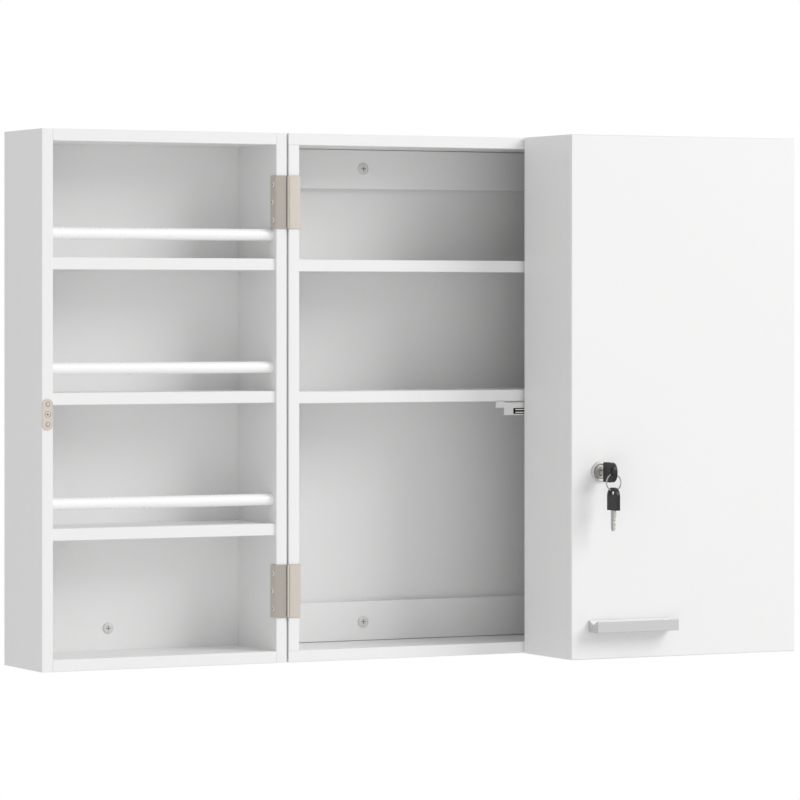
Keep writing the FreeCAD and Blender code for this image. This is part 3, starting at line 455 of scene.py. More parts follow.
    key_hole: length("Key hole", "From the end of a key head to the middle of its hole", 0.005)
    key_slot: length("Key slot", "Width of the slot in a key head", 0.0052)
    key_slot_low: length("Key slot low", "How far the slot is drawn out at the ring's side", 0.0008)
    key_slot_high: length("Key slot high", "How far the slot is drawn out at the other side", 0.0026)
    key_slot_edge: length("Key slot edge", "Rounding of the slot's rim", 0.0008)
    key_edge: length("Key edge", "Rounding of a key head's rim", 0.0011)
    key_arch: length("Key arch", "Rounding of a key head's outer corners", 0.0092)
    key_corner: length("Key corner", "Rounding of a key head's corners at the blade", 0.0012)
    blade_width: length("Blade width", "Width of a key's blade", 0.0074)
    blade_thickness: length("Blade thickness", "Thickness of a key's blade", 0.0022)
    blade_lap: length("Blade lap", "How far a blade reaches into its head", 0.004)
    blade_tip: length("Blade tip", "Width of a blade's flat tip", 0.0016)
    blade_tip_side: length("Blade tip side", "From the blade's middle line to the tip's notched side", 0.0002)
    blade_ease: length("Blade ease", "How far a blade's plain edge turns in before the tip", 0.0005)
    blade_groove_near: length("Blade groove near", "From the blade's middle line to its groove", 0.0006)
    blade_groove_far: length("Blade groove far", "From the middle line to the groove's far side", 0.0022)
    blade_groove_wall: length("Blade groove wall", "Width of the groove's sloped walls", 0.00025)
    blade_groove_depth: length("Blade groove depth", "Depth of the groove in a blade", 0.0005)
    ring_turns: FloatProperty(
        name="Ring turns", description="Turns of the split ring's wire", default=1.94, min=1, max=3)


class CabinetColours(bpy.types.PropertyGroup):
    board: colour("Board", "White lacquer of the boards", (0.848, 0.848, 0.846))
    rail: colour("Rail", "White gloss of the guard rails", (0.94, 0.94, 0.94))
    nickel: colour("Nickel", "Satin nickel of hinges and strikes", (0.595, 0.545, 0.488))
    bar: colour("Handle bar", "Silver of the handles", (0.58, 0.58, 0.582))
    zinc: colour("Zinc", "Zinc of the screws", (0.74, 0.735, 0.72))
    lock: colour("Lock", "Polished metal of the lock", (0.60, 0.59, 0.57))
    brass: colour("Key blade", "Metal of the key blades", (0.61, 0.595, 0.555))
    key_head: colour("Key head", "Black plastic of the key heads", (0.011, 0.011, 0.0115))


class CabinetStage(bpy.types.PropertyGroup):
    lens: FloatProperty(name="Lens", description="The camera's lens in millimetres", default=194.386, min=1)
    shift: FloatProperty(name="Shift", description="The camera's vertical shift", default=-0.11644)
    place: FloatVectorProperty(
        name="Camera place", description="Where the camera stands", default=(-2.14514, -4.08989, 0.09278),
        subtype="XYZ")
    heading: FloatProperty(
        name="Heading", description="The camera's turn about the vertical", default=math.radians(-26.6586),
        subtype="ANGLE")
    ambient: amount("Ambient", "Strength of the room's even light", 0.66)
    key_power: amount("Key light", "Power of the large soft light in watts", 117)
    key_size: length("Key size", "Side of the large soft light", 2.6)
    key_way: direction("Key direction", "From the cabinet towards the large soft light", (0.55, -0.66, 0.51))
    key_distance: length("Key distance", "From the cabinet to the large soft light", 5)
    fill_power: amount("Fill light", "Power of the low light from the front left in watts", 6.5)
    fill_size: length("Fill size", "Side of the low light from the front left", 1.8)
    fill_way: direction("Fill direction", "From the cabinet towards the low light", (-0.5, -0.75, -0.4))
    fill_distance: length("Fill distance", "From the cabinet to the low light", 2.2)
    floor_drop: length("Floor drop", "How far the floor lies under the cabinet's middle", 1.2)
    floor_radius: length("Floor radius", "Radius of the round floor", 3.2)
    fade_start: length("Fade start", "From the floor's middle to where it starts to fade to white", 0.6)
    fade_end: length("Fade end", "From the floor's middle to where it is white", 2.6)


# Finishes

# Sockets of a Mix node, which share their names
VALUE_A, VALUE_B, COLOUR_A, COLOUR_B = 2, 3, 6, 7
VALUE_MIX, COLOUR_MIX = 0, 2


def set_inputs(node, **values):
    for name, value in values.items():
        node.inputs[name].default_value = value


def add_node(tree, kind, **values):
    node = tree.nodes.new(kind)
    set_inputs(node, **values)
    return node


def wire(tree, *links):
    """Links outputs to inputs, given in pairs."""
    for output, socket in links:
        tree.links.new(output, socket)


def emptied(owner, output):
    """Clears the nodes of a material or world, and returns its tree and a new output node."""
    owner.use_nodes = True
    tree = owner.node_tree
    tree.nodes.clear()
    return tree, tree.nodes.new(output)


def surface_grain():
    """Group: cloudy tone and fine grain of a surface, stretched along its lines."""
    group = bpy.data.node_groups.new("Surface Grain", "ShaderNodeTree")
    for name, kind in (("Stretch", "Vector"), ("Grain Scale", "Float"), ("Tone Scale", "Float")):
        group.interface.new_socket(name, in_out="INPUT", socket_type=f"NodeSocket{kind}")
    for name in ("Tone", "Grain"):
        group.interface.new_socket(name, in_out="OUTPUT", socket_type="NodeSocketFloat")
    entry = group.nodes.new("NodeGroupInput")
    exit_node = group.nodes.new("NodeGroupOutput")
    place = group.nodes.new("ShaderNodeTexCoord")
    stretch = group.nodes.new("ShaderNodeMapping")
    tone = add_node(group, "ShaderNodeTexNoise", Detail=3, Roughness=0.5)
    grain = add_node(group, "ShaderNodeTexNoise", Detail=4, Roughness=0.55)
    wire(
        group,
        (place.outputs["Object"], stretch.inputs["Vector"]),
        (entry.outputs["Stretch"], stretch.inputs["Scale"]),
        (place.outputs["Object"], tone.inputs["Vector"]),
        (stretch.outputs["Vector"], grain.inputs["Vector"]),
        (entry.outputs["Tone Scale"], tone.inputs["Scale"]),
        (entry.outputs["Grain Scale"], grain.inputs["Scale"]),
        (tone.outputs["Fac"], exit_node.inputs["Tone"]),
        (grain.outputs["Fac"], exit_node.inputs["Grain"]),
    )


def surface(name, tones, roughness, grain, tone, relief, stretch=(1, 1, 1), depth=0.0002, grain_share=0.3,
            metal=0, specular=0.5, coat=0, coat_roughness=0.03):
    """A finish whose colour, gloss and relief follow the grain group between two tones."""
    tree, output = emptied(bpy.data.materials.new(name), "ShaderNodeOutputMaterial")
    shader = add_node(tree, "ShaderNodeBsdfPrincipled", **{
        "Metallic": metal, "Specular IOR Level": specular,
        "Coat Weight": coat, "Coat Roughness": coat_roughness,
    })
    pattern = tree.nodes.new("ShaderNodeGroup")
    pattern.node_tree = bpy.data.node_groups["Surface Grain"]
    set_inputs(pattern, **{"Stretch": stretch, "Grain Scale": grain, "Tone Scale": tone})
    both = add_node(tree, "ShaderNodeMix", Factor=grain_share)
    tint = tree.nodes.new("ShaderNodeMix")
    tint.data_type = "RGBA"
    tint.inputs[COLOUR_A].default_value, tint.inputs[COLOUR_B].default_value = tones
    gloss = add_node(tree, "ShaderNodeMapRange", **{
        "From Min": 0.3, "From Max": 0.7, "To Min": roughness[0], "To Max": roughness[1],
    })
    bump = add_node(tree, "ShaderNodeBump", Strength=relief, Distance=depth)
    wire(
        tree,
        (pattern.outputs["Tone"], both.inputs[VALUE_A]),
        (pattern.outputs["Grain"], both.inputs[VALUE_B]),
        (both.outputs[VALUE_MIX], tint.inputs["Factor"]),
        (tint.outputs[COLOUR_MIX], shader.inputs["Base Color"]),
        (both.outputs[VALUE_MIX], gloss.inputs["Value"]),
        (gloss.outputs["Result"], shader.inputs["Roughness"]),
        (pattern.outputs["Grain"], bump.inputs["Height"]),
        (bump.outputs["Normal"], shader.inputs["Normal"]),
        (shader.outputs["BSDF"], output.inputs["Surface"]),
    )


def shades(tone, *shares):
    """A colour made lighter or darker by each of several shares."""
    return [(tone[0] * share, tone[1] * share, tone[2] * share, 1) for share in shares]


def board_finishes(mix):
    surface("White Lacquer", shades(mix.board, 1, 0.975), (0.40, 0.50), 900, 5, 0.06, specular=0.3)
    surface("Back Panel White", shades(mix.board, 0.985, 0.955), (0.45, 0.55), 700, 6, 0.05, specular=0.25)
    surface("Rail White Gloss", shades(mix.rail, 1, 0.985), (0.25, 0.30), 500, 12, 0.02,
            coat=0.2, coat_roughness=0.15)


def hinge_finishes(mix):
    # The leaves' one nickel in lighter and darker copies that paint light and shade: the flange lighter, the
    # door leaf darker.
    for name, shares, roughness, metal in (
        ("Frame Leaf Nickel", (1, 0.93), (0.54, 0.64), 0.45),
        ("Darker Nickel Painted Shade", (0.67, 0.60), (0.50, 0.60), 0.45),
        ("Flange Nickel Painted Light", (1.12, 1.02), (0.50, 0.60), 0.45),
        ("Knuckle Nickel", (0.86, 0.77), (0.30, 0.40), 1.0),
    ):
        surface(name, shades(mix.nickel, *shares), roughness, 900, 40, 0.08,
                stretch=(1, 1, 0.06), grain_share=0.7, metal=metal)
    # Near-black nickel on the sheared ends paints a shadow line at each leaf's upper and lower end.
    surface("Sheared Ends Painted Shade", shades(mix.nickel, 0.12, 0.08), (0.6, 0.75), 1500, 80, 0.1, specular=0.2)
    surface("Strike Nickel", shades(mix.nickel, 1.04, 0.97), (0.50, 0.60), 1200, 60, 0.05,
            grain_share=0.5, metal=0.4)


def handle_finishes(mix):
    # The groove's lighter copy of the silver is a painted highlight of its grazing reflection.
    for name, shares, metal in (("Handle Aluminium", (1, 0.95), 0.35), ("Handle Groove Painted Highlight", (1.5, 1.42), 0.3)):
        surface(name, shades(mix.bar, *shares), (0.30, 0.40), 900, 30, 0.06,
                stretch=(0.04, 1, 1), grain_share=0.7, metal=metal)


def screw_finishes(mix):
    surface("Screw Zinc", shades(mix.zinc, 1.15, 1.02), (0.26, 0.38), 1500, 120, 0.06,
            grain_share=0.5, metal=0.6)
    surface("Screw Satin", shades(mix.zinc, 0.92, 0.84), (0.45, 0.58), 1500, 120, 0.06,
            grain_share=0.5, metal=0.25)
    # Dark and grey painted shade for the insides of cross recesses and the keyway.
    deep_painted_shade = (0.08, 0.077, 0.072, 1), (0.12, 0.116, 0.11, 1)
    soft_painted_shade = (0.28, 0.277, 0.27, 1), (0.34, 0.336, 0.33, 1)
    surface("Recess Painted Shade Dark", deep_painted_shade, (0.5, 0.65), 1500, 200, 0.08, metal=0.5)
    surface("Recess Painted Shade Grey", soft_painted_shade, (0.5, 0.65), 1500, 200, 0.08, metal=0.3)


def lock_finishes(mix):
    surface("Lock Chrome", shades(mix.lock, 1, 0.94), (0.34, 0.44), 1200, 90, 0.03, metal=0.6)
    surface("Plug Steel", shades(mix.lock, 0.8, 0.68), (0.40, 0.52), 1800, 150, 0.08,
            grain_share=0.5, metal=0.6)
    surface("Ring Steel", shades(mix.lock, 0.68, 0.55), (0.18, 0.28), 1600, 150, 0.04, metal=1.0)


def key_finishes(mix):
    surface("Key Steel", shades(mix.brass, 1, 0.84), (0.56, 0.68), 1600, 120, 0.08,
            stretch=(1, 1, 0.12), grain_share=0.6, metal=0.35)
    # Key Groove Painted Shade: a darker copy of the blade metal that paints shade in the milled groove.
    surface("Key Groove Painted Shade", shades(mix.brass, 0.42, 0.32), (0.6, 0.72), 1600, 120, 0.1,
            stretch=(1, 1, 0.12), grain_share=0.6, metal=0.3)
    surface("Key Head Black", shades(mix.key_head, 1, 1.6), (0.30, 0.42), 2600, 90, 0.12,
            depth=0.0001, grain_share=0.5, specular=0.3)


def catch_finishes(mix):
    surface("Catch White", shades(mix.board, 0.89, 0.86), (0.35, 0.45), 1800, 60, 0.06)
    # Black of the ferrite magnet, also laid on the catch window's walls as painted shade.
    ferrite_and_shade = (0.004, 0.004, 0.004, 1), (0.008, 0.008, 0.008, 1)
    surface("Magnet Black And Painted Shade", ferrite_and_shade, (0.7, 0.85), 2500, 200, 0.15, specular=0.08)
    steel = (0.93, 0.92, 0.90, 1), (0.86, 0.85, 0.83, 1)
    surface("Pole Steel", steel, (0.35, 0.47), 1800, 150, 0.06,
            stretch=(0.1, 1, 1), grain_share=0.6, metal=0.1)


class CABINET_OT_finishes(bpy.types.Operator):
    """Mix the finishes of boards, fittings, lock and keys"""

    bl_idname = "cabinet.finishes"
    bl_label = "Mix Finishes"

    def execute(self, context):
        mix = context.scene.cabinet_colours
        surface_grain()
        board_finishes(mix)
        hinge_finishes(mix)
        handle_finishes(mix)
        screw_finishes(mix)
        lock_finishes(mix)
        key_finishes(mix)
        catch_finishes(mix)
        return {"FINISHED"}


# Boards and guard rails


def outer_edge(node):
    """A test for edges that lie on two sides of a CAD piece's box."""
    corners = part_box(node)

    def lies_outside(edge):
        place = centre(edge)
        return sum(any(near(place[axis], corner[axis]) for corner in corners) for axis in range(3)) > 1

    return lies_outside


def softened(node, offset):
    """A copy of a CAD piece with its outer edges rounded."""
    bm = bmesh.new()
    bm.from_mesh(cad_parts[node].data)
    bmesh.ops.remove_doubles(bm, verts=bm.verts[:], dist=MERGE)
    bmesh.ops.dissolve_limit(
        bm, angle_limit=FLAT, use_dissolve_boundaries=False, verts=bm.verts[:], edges=bm.edges[:])
    soften(bm, offset, 2, outer_edge(node))
    return bm


class CABINET_OT_boards(bpy.types.Operator):
    """Round the edges of the boards and paint them"""

    bl_idname = "cabinet.boards"
    bl_label = "Make Boards"

    def execute(self, context):
        edge = context.scene.cabinet_sizes.board_edge
        boards = [("cabinet", node) for node in CARCASS_BOARDS]
        boards += [(f"{side}_door", f"{side}_door_{board}") for side in DOOR_INSIDES for board in DOOR_BOARDS]
        for body, node in boards:
            add_piece(f"{node}_board", softened(node, edge), ["White Lacquer"], body, "white_board", node)
        paint(["back_panel"], "Back Panel White")
        return {"FINISHED"}


class CABINET_OT_rails(bpy.types.Operator):
    """Make the round guard rails of the door shelves"""

    bl_idname = "cabinet.rails"
    bl_label = "Make Guard Rails"

    def execute(self, context):
        sizes = context.scene.cabinet_sizes
        for side in DOOR_INSIDES:
            for level in ("lower", "middle", "upper"):
                node = f"{side}_door_{level}_rail"
                size = span(node)
                bar = round_bar(size.z / 2, size.x, RAIL_SIDES)
                soften(bar, sizes.rail_end, 3)
                place = Matrix.Translation(middle(node)) @ Matrix.Rotation(math.pi / 2, 4, "Y")
                rail = gather((bar, [place]))
                name, body = f"{side}_{level}_guard_rail", f"{side}_door"
                add_piece(name, rail, ["Rail White Gloss"], body, "white_rail", node)
        return {"FINISHED"}


# Screws


def cross(arm, width):
    """Outline of a cross recess."""
    half = width / 2
    return [
        (half, half), (half, arm), (-half, arm), (-half, half), (-arm, half), (-arm, -half),
        (-half, -half), (-half, -arm), (half, -arm), (half, -half), (arm, -half), (arm, half),
    ]


def screw_point(bm, rim, radius, reach):
    """Runs a shank down to its point, at a depth of the given reach, and closes it."""
    start = reach - radius * 3
    rim = carry_rim(bm, rim, [
        (radius, -start), (radius * 0.5, -start - radius * 1.6), (radius * 0.08, -start - radius * 3),
    ])
    close_rim(bm, rim)


def wood_screw(sizes):
    """A small screw with a low domed head, its seat at height 0."""
    head, shank = sizes.wood_screw_head, sizes.wood_screw_shank
    bm = bmesh.new()
    recess = cross(head * 0.5, head * 0.36)
    rim = sunk_face(bm, recess, head * 0.6, head * 0.2, head * 0.5, 0.75, WOOD_SCREW_SIDES)
    rim = carry_rim(bm, rim, [
        (head * 0.85, head * 0.12), (head * 0.97, head * 0.05), (head, 0), (head * 0.97, -head * 0.06),
        (shank, -head * 0.5),
    ])
    screw_point(bm, rim, shank, sizes.wood_screw_length)
    return bm


def flush_screw(sizes):
    """A countersunk screw whose head ends level with its plate and has its finish."""
    head, shank = sizes.strike_screw, sizes.wood_screw_shank
    bm = bmesh.new()
    recess = cross(head * 0.5, head * 0.19)
    rim = sunk_face(bm, recess, head * 0.9, 0, head * 0.32, 0.7, FLUSH_SCREW_SIDES)
    rim = carry_rim(bm, rim, [
        (head * 0.98, -head * 0.04), (head, -head * 0.1), (head * 0.98, -head * 0.16), (shank, -head * 0.6),
    ])
    screw_point(bm, rim, shank, sizes.wood_screw_length)
    for face in bm.faces:
        if face.material_index == MAIN:
            face.material_index = PLATE
    return bm


def pan_screw(head, height, shank):
    """A screw with a broad domed head, its seat at height 0, and the open rim that its shank starts from."""
    bm = bmesh.new()
    recess = cross(head * 0.46, head * 0.13)
    rim = sunk_face(bm, recess, head * 0.66, height, height * 0.75, 0.7, PAN_SCREW_SIDES)
    rim = carry_rim(bm, rim, [
        (head * 0.8, height * 0.94), (head * 0.91, height * 0.78), (head * 0.98, height * 0.48),
        (head, height * 0.2), (head, 0), (shank, 0),
    ])
    return bm, rim


def screw_thread(root, crest, pitch, turns):
    """A thread's ridge wound round a shank, starting at height 0 and going down."""
    bm = bmesh.new()
    half = pitch * 0.3
    section = ((root, 0, half), (crest, 0, 0), (root, 0, -half))
    ridge = bm.faces.new([bm.verts.new(corner) for corner in section])
    steps = int(turns * THREAD_STEPS)
    bmesh.ops.spin(
        bm, geom=[ridge], cent=(0, 0, 0), axis=(0, 0, 1), dvec=(0, 0, -pitch / THREAD_STEPS),
        angle=steps * math.tau / THREAD_STEPS, steps=steps, use_duplicate=False,
    )
    return bm


def hinge_heights(sizes):
    """Middle heights of the lower and the upper hinge."""
    reach = sizes.hinge_length / 2
    return [low("right_frame_leaves").z + reach, high("right_frame_leaves").z - reach]


def leaf_screw_places(sizes, face, front, inwards, way):
    """Places of the screws of two leaves, from their face, the board's edge and the way in from it."""
    places = []
    for hinge in hinge_heights(sizes):
        for step in (-1, 0, 1):
            setback = sizes.leaf_screw_setback + (sizes.leaf_screw_stagger if step == 0 else 0)
            places.append(aim((face, front + inwards * setback, hinge + step * sizes.leaf_screw_step), way))
    return places


def strike_face(sizes):
    """Height of a strike's face over the board, under its bumps."""
    return span("left_door_strike").y - sizes.strike_press


def strike_seat(side):
    """Middle of a strike's back, where it lies on its board."""
    node = f"{side}_door_strike"
    seat = middle(node)
    seat.y = high(node).y if side == "left" else low(node).y
    return seat


def ear_face(sizes):
    """Underside of the catch's ears."""
    return high("catch_housing").z - sizes.catch_ear


def ear_reach(sizes):
    """From the catch's middle to the screw of an ear."""
    return span("catch_housing").x / 2 - sizes.catch_ear_inset


class CABINET_OT_screws(bpy.types.Operator):
    """Make the cross-head screws of hinges, catch, strikes, handles and wall"""

    bl_idname = "cabinet.screws"
    bl_label = "Make Screws"

    def execute(self, context):
        sizes = context.scene.cabinet_sizes
        self.carcass_screws(sizes)
        for side, way in DOOR_INSIDES.items():
            self.door_screws(sizes, side, way)
            self.handle_screws(sizes, side, way)
        self.wall_screws(sizes)
        return {"FINISHED"}

    def carcass_screws(self, sizes):
        right_face, right_edge = low("right_frame_leaves").x, low("carcass_side_right").y
        left_face, left_edge = high("left_frame_leaves").x, low("carcass_side_left").y
        places = leaf_screw_places(sizes, right_face, right_edge, 1, FACING_LEFT)
        places += leaf_screw_places(sizes, left_face, left_edge, 1, FACING_RIGHT)
        catch = middle("catch_housing")
        for side in (-1, 1):
            places.append(aim((catch.x + side * ear_reach(sizes), catch.y, ear_face(sizes)), FACING_DOWN))
        screws = gather((wood_screw(sizes), places))
        add_piece("carcass_screws", screws, SMALL_SCREW, "cabinet", "zinc_screw", "carcass_wood_screws")

    def door_screws(self, sizes, side, way):
        face, board = low(f"{side}_door_leaves").x, f"{side}_door_hinge_side"
        edge, inwards = (low(board).y, 1) if side == "left" else (high(board).y, -1)
        places = leaf_screw_places(sizes, face, edge, inwards, FACING_LEFT)
        strike = aim(strike_seat(side) + way * strike_face(sizes), way)
        screws = gather((wood_screw(sizes), places), (flush_screw(sizes), [strike]))
        node = f"{side}_door_wood_screws"
        add_piece(f"{side}_door_screws", screws, SMALL_SCREW, f"{side}_door", "zinc_screw", node)

    def handle_screws(self, sizes, side, way):
        node, front = f"{side}_door_handle_screws", f"{side}_door_front"
        panel, tip = (low(front).y, high(node).y) if side == "left" else (high(front).y, low(node).y)
        depth = abs(tip - panel)
        shank = sizes.handle_screw_shank
        bm, rim = pan_screw(sizes.handle_screw_head, sizes.handle_screw_dome, shank)
        taper = -depth + sizes.handle_screw_taper
        close_rim(bm, carry_rim(bm, rim, [(shank, taper), (sizes.handle_screw_tip, -depth)]))
        reach = span(node).x / 2 - sizes.handle_screw_head
        places = [aim((middle(node).x + step * reach, panel, middle(node).z), way) for step in (-1, 1)]
        add_piece(
            f"{side}_handle_screws", gather((bm, places)), PAN_SCREW, f"{side}_door", "zinc_screw", node)

    def wall_screws(self, sizes):
        start, end = low("wall_screws"), high("wall_screws")
        seat = low("lower_hanging_rail").y
        depth = end.y - seat
        head, shank, pitch = sizes.wall_screw_head, sizes.wall_screw_shank, sizes.wall_screw_pitch
        bm, rim = pan_screw(head, sizes.wall_screw_dome, shank)
        screw_point(bm, rim, shank, depth)
        turns = (depth - sizes.wall_screw_bare) / pitch
        thread = screw_thread(shank * 0.96, sizes.wall_screw_thread, pitch, turns)
        bmesh.ops.translate(thread, vec=(0, 0, -sizes.wall_screw_neck), verts=thread.verts[:])
        places = [
            aim((x, seat, z), FACING_ROOM)
            for x in (start.x + head, end.x - head) for z in (start.z + head, end.z - head)
        ]
        screws = gather((bm, places), (thread, places))
        add_piece("wall_fixing_screws", screws, PAN_SCREW, "cabinet", "zinc_screw", "wall_screws")


# Hinges


def leaf_plate(sizes, crease):
    """The bent sheet of a right-hand hinge leaf, which ends in a crease beside the barrel."""
    start, end = low("right_frame_leaves"), high("right_frame_leaves")
    board = low("carcass_side_right")
    inner, outer = start.x, board.x
    front = board.y - (outer - inner)
    crease_x = middle("right_hinge_pins").x - crease
    half = sizes.hinge_length / 2
    outline = [
        (inner, front), (crease_x, front), (crease_x, board.y),
        (outer, board.y), (outer, end.y), (inner, end.y),
    ]
    plate = pulled([(x, y, -half) for x, y in outline], (0, 0, half * 2))

    def on_front(edge):
        return near(centre(edge).y, front)

    def on_end(edge):
        return near(abs(centre(edge).z), half)

    soften(plate, sizes.hinge_bend, 4, lambda edge: on_front(edge) and near(centre(edge).x, inner))
    soften(plate, sizes.hinge_corner, 4, lambda edge: on_end(edge) and near(centre(edge).y, end.y))
    soften(plate, sizes.hinge_shear, 1, lambda edge: on_end(edge) and on_front(edge))
    soften(plate, sizes.hinge_edge)
    plate.normal_update()
    # The sheared ends take the near-black painted shade line, and the flange the lighter copy of the nickel
    # that paints light.
    for face in plate.faces:
        if abs(face.normal.z) > 0.5:
            face.material_index = SHEARED
        elif face.normal.x < -0.7:
            face.material_index = FLANGE
    return plate


def knuckle_barrel(sizes, radius, height):
    """One knuckle, bored at both ends."""
    barrel = round_bar(radius, height, BARREL_SIDES, cap_ends=False)
    bore = sizes.knuckle_bore
    for side in (-1, 1):
        end = side * height / 2
        rim = [edge for edge in barrel.edges if near(centre(edge).z, end)]
        floor = side * (height / 2 - sizes.knuckle_bore_depth)
        rim = carry_rim(barrel, rim, [(radius - sizes.knuckle_edge, end), (bore, end), (bore, floor)])
        close_rim(barrel, rim)
    return barrel


def knuckle_tab(axis, radius, height, crease):
    """The tab that joins one knuckle to its leaf, behind the crease."""
    board = low("carcass_side_right")
    thickness = board.x - low("right_frame_leaves").x
    lap, gap, slack = 0.0002, 0.0003, 0.0001  # into the leaf, to the pin's middle, and at the knuckle's ends
    root, tip, under = axis.x - crease - lap, axis.x - gap, board.y - thickness * 0.4
    outline = [(root, under), (tip, under), (tip, axis.y + radius * 0.97), (root, board.y)]
    return pulled([(x, y, -height / 2 + slack) for x, y in outline], (0, 0, height - 2 * slack))


def hinge_leaf(sizes, knuckles, crease):
    """One leaf of a right-hand hinge, its middle at height 0, with the knuckles that it owns."""
    axis = middle("right_hinge_pins")
    radius = high("right_frame_leaves").x - axis.x
    height = (sizes.hinge_length - 2 * sizes.knuckle_gap) / 3
    barrel = knuckle_barrel(sizes, radius, height)
    tab = knuckle_tab(axis, radius, height, crease)
    for face in barrel.faces[:] + tab.faces[:]:
        face.material_index = KNUCKLE
    tabs = [Matrix.Translation((0, 0, knuckle * (height + sizes.knuckle_gap))) for knuckle in knuckles]
    barrels = [place @ Matrix.Translation((axis.x, axis.y, 0)) for place in tabs]
    return gather((leaf_plate(sizes, crease), AS_DRAWN), (barrel, barrels), (tab, tabs))


def mirror_at(axis, place):
    """Mirror about a plane square to an axis."""
    normal = Vector(axis)
    return Matrix.Translation(normal * place * 2) @ Matrix.Scale(-1, 4, normal)


class CABINET_OT_hinges(bpy.types.Operator):
    """Make the wrap-round hinge leaves and their pins"""

    bl_idname = "cabinet.hinges"
    bl_label = "Make Hinges"

    def execute(self, context):
        sizes = context.scene.cabinet_sizes
        axis = middle("right_hinge_pins")
        heights = [Matrix.Translation((0, 0, height)) for height in hinge_heights(sizes)]
        frame_leaf = "frame", "Frame Leaf Nickel", (-1, 1), sizes.frame_crease
        # The door leaves take the darker nickel, a painted shade.
        door_leaf = "door", "Darker Nickel Painted Shade", (0,), sizes.door_crease
        for side, body, turn, (kind, finish, knuckles, crease) in (
            ("right", "cabinet", Matrix.Identity(4), frame_leaf),
            ("left", "cabinet", mirror_at((1, 0, 0), 0), frame_leaf),
            ("right", "right_door", mirror_at((0, 1, 0), axis.y), door_leaf),
            ("left", "left_door", Matrix.Translation((-2 * axis.x, 0, 0)), door_leaf),
        ):
            leaves = gather((hinge_leaf(sizes, knuckles, crease), [height @ turn for height in heights]))
            name, node = f"{side}_hinge_{kind}_leaves", f"{side}_{kind}_leaves"
            add_piece(name, leaves, [finish, *LEAF_DETAILS], body, "satin_nickel", node)
        for side in ("right", "left"):
            node = f"{side}_hinge_pins"
            pin = round_bar(span(node).x / 2, sizes.hinge_length - 2 * sizes.knuckle_gap, PIN_SIDES)
            soften(pin, sizes.pin_edge, 3)
            places = [height @ Matrix.Translation((middle(node).x, middle(node).y, 0)) for height in heights]
            pins = gather((pin, places))
            add_piece(f"{side}_hinge_pin_pair", pins, ["Frame Leaf Nickel"], "cabinet", "satin_nickel", node)
        return {"FINISHED"}


class CABINET_OT_handles(bpy.types.Operator):
    """Make the grooved bar handles"""

    bl_idname = "cabinet.handles"
    bl_label = "Make Handles"

    def execute(self, context):
        sizes = context.scene.cabinet_sizes
        half, deep = sizes.handle_groove / 2, sizes.handle_groove_depth
        for side in DOOR_INSIDES:
            node = f"{side}_door_handle"
            start, end = low(node), high(node)
            groove = middle(node).y
            outline = [
                (start.y, start.z), (end.y, start.z), (end.y, end.z), (groove + half, end.z),
                (groove, end.z - deep), (groove - half, end.z), (start.y, end.z),
            ]
            bar = pulled([(start.x, y, z) for y, z in outline], (end.x - start.x, 0, 0))
            soften(bar, sizes.handle_edge, 3, lambda edge: not near(centre(edge).y, groove))
            bar.normal_update()
            # The groove's slopes take the lighter silver, a painted highlight.
            for face in bar.faces:
                sloped = face.normal.z > 0.5 and abs(face.normal.y) > 0.2
                if sloped and abs(face.calc_center_median().y - groove) < half * 0.94:
                    face.material_index = RECESS
            finishes = ["Handle Aluminium", "Handle Groove Painted Highlight"]
            add_piece(f"{side}_handle_bar", bar, finishes, f"{side}_door", "aluminium_bar", node)
        return {"FINISHED"}


# Catch and strikes


def catch_front(sizes):
    """The catch's front plate between its ears, with a window for the magnet."""
    start, end = low("catch_housing"), high("catch_housing")
    half, body = span("catch_housing").x / 2 - sizes.catch_play, sizes.catch_front / 2
    under, slit = ear_face(sizes), end.z - sizes.catch_slit
    outline = [
        (-half, end.z), (-body, end.z), (-body, slit), (body, slit), (body, end.z), (half, end.z),
        (half, under), (body, under), (body, start.z), (-body, start.z), (-body, under), (-half, under),
    ]
    plate = pulled([(x, start.y, z) for x, z in outline], (0, sizes.catch_plate, 0))
    soften(plate, sizes.catch_edge)
    plate.normal_update()
    front = [face for face in plate.faces if face.normal.y < -0.99]
    rim = list(front[0].edges)
    bmesh.ops.delete(plate, geom=front, context="FACES_ONLY")
    side, play = sizes.catch_window / 2, sizes.catch_window_play
    window = oblong((-side, low("catch_magnet").z - play), (side, high("catch_magnet").z + play))
    corners = [plate.verts.new((x, start.y, z)) for x, z in window]
    # The window's walls take the magnet's black, a painted shade.
    sink(plate, rim, corners, (0, sizes.catch_plate * 0.9, 0))
    return plate


def catch_block(sizes):
    """The catch's body behind its front plate."""
    start, end = low("catch_housing"), high("catch_housing")
    half = sizes.catch_block / 2
    back = start.y + sizes.catch_plate
    outline = oblong((-half, start.z + sizes.catch_block_rise), (half, end.z - sizes.catch_block_drop))
    block = pulled([(x, back, z) for x, z in outline], (0, end.y - back, 0))
    soften(block, sizes.catch_edge)
    return block


def lug_bar(sizes, lug, height):
    """The bar from lug to lug, its ends round, from height 0 up."""
    bar = flat_oblong((ear_reach(sizes) + lug) * 2, lug * 2)
    bevel(bar, bar.verts[:], lug * 0.9995, 8, affect="VERTICES")
    pull(bar, bar.faces[:], (0, 0, height))
    face_out(bar)
    return bar


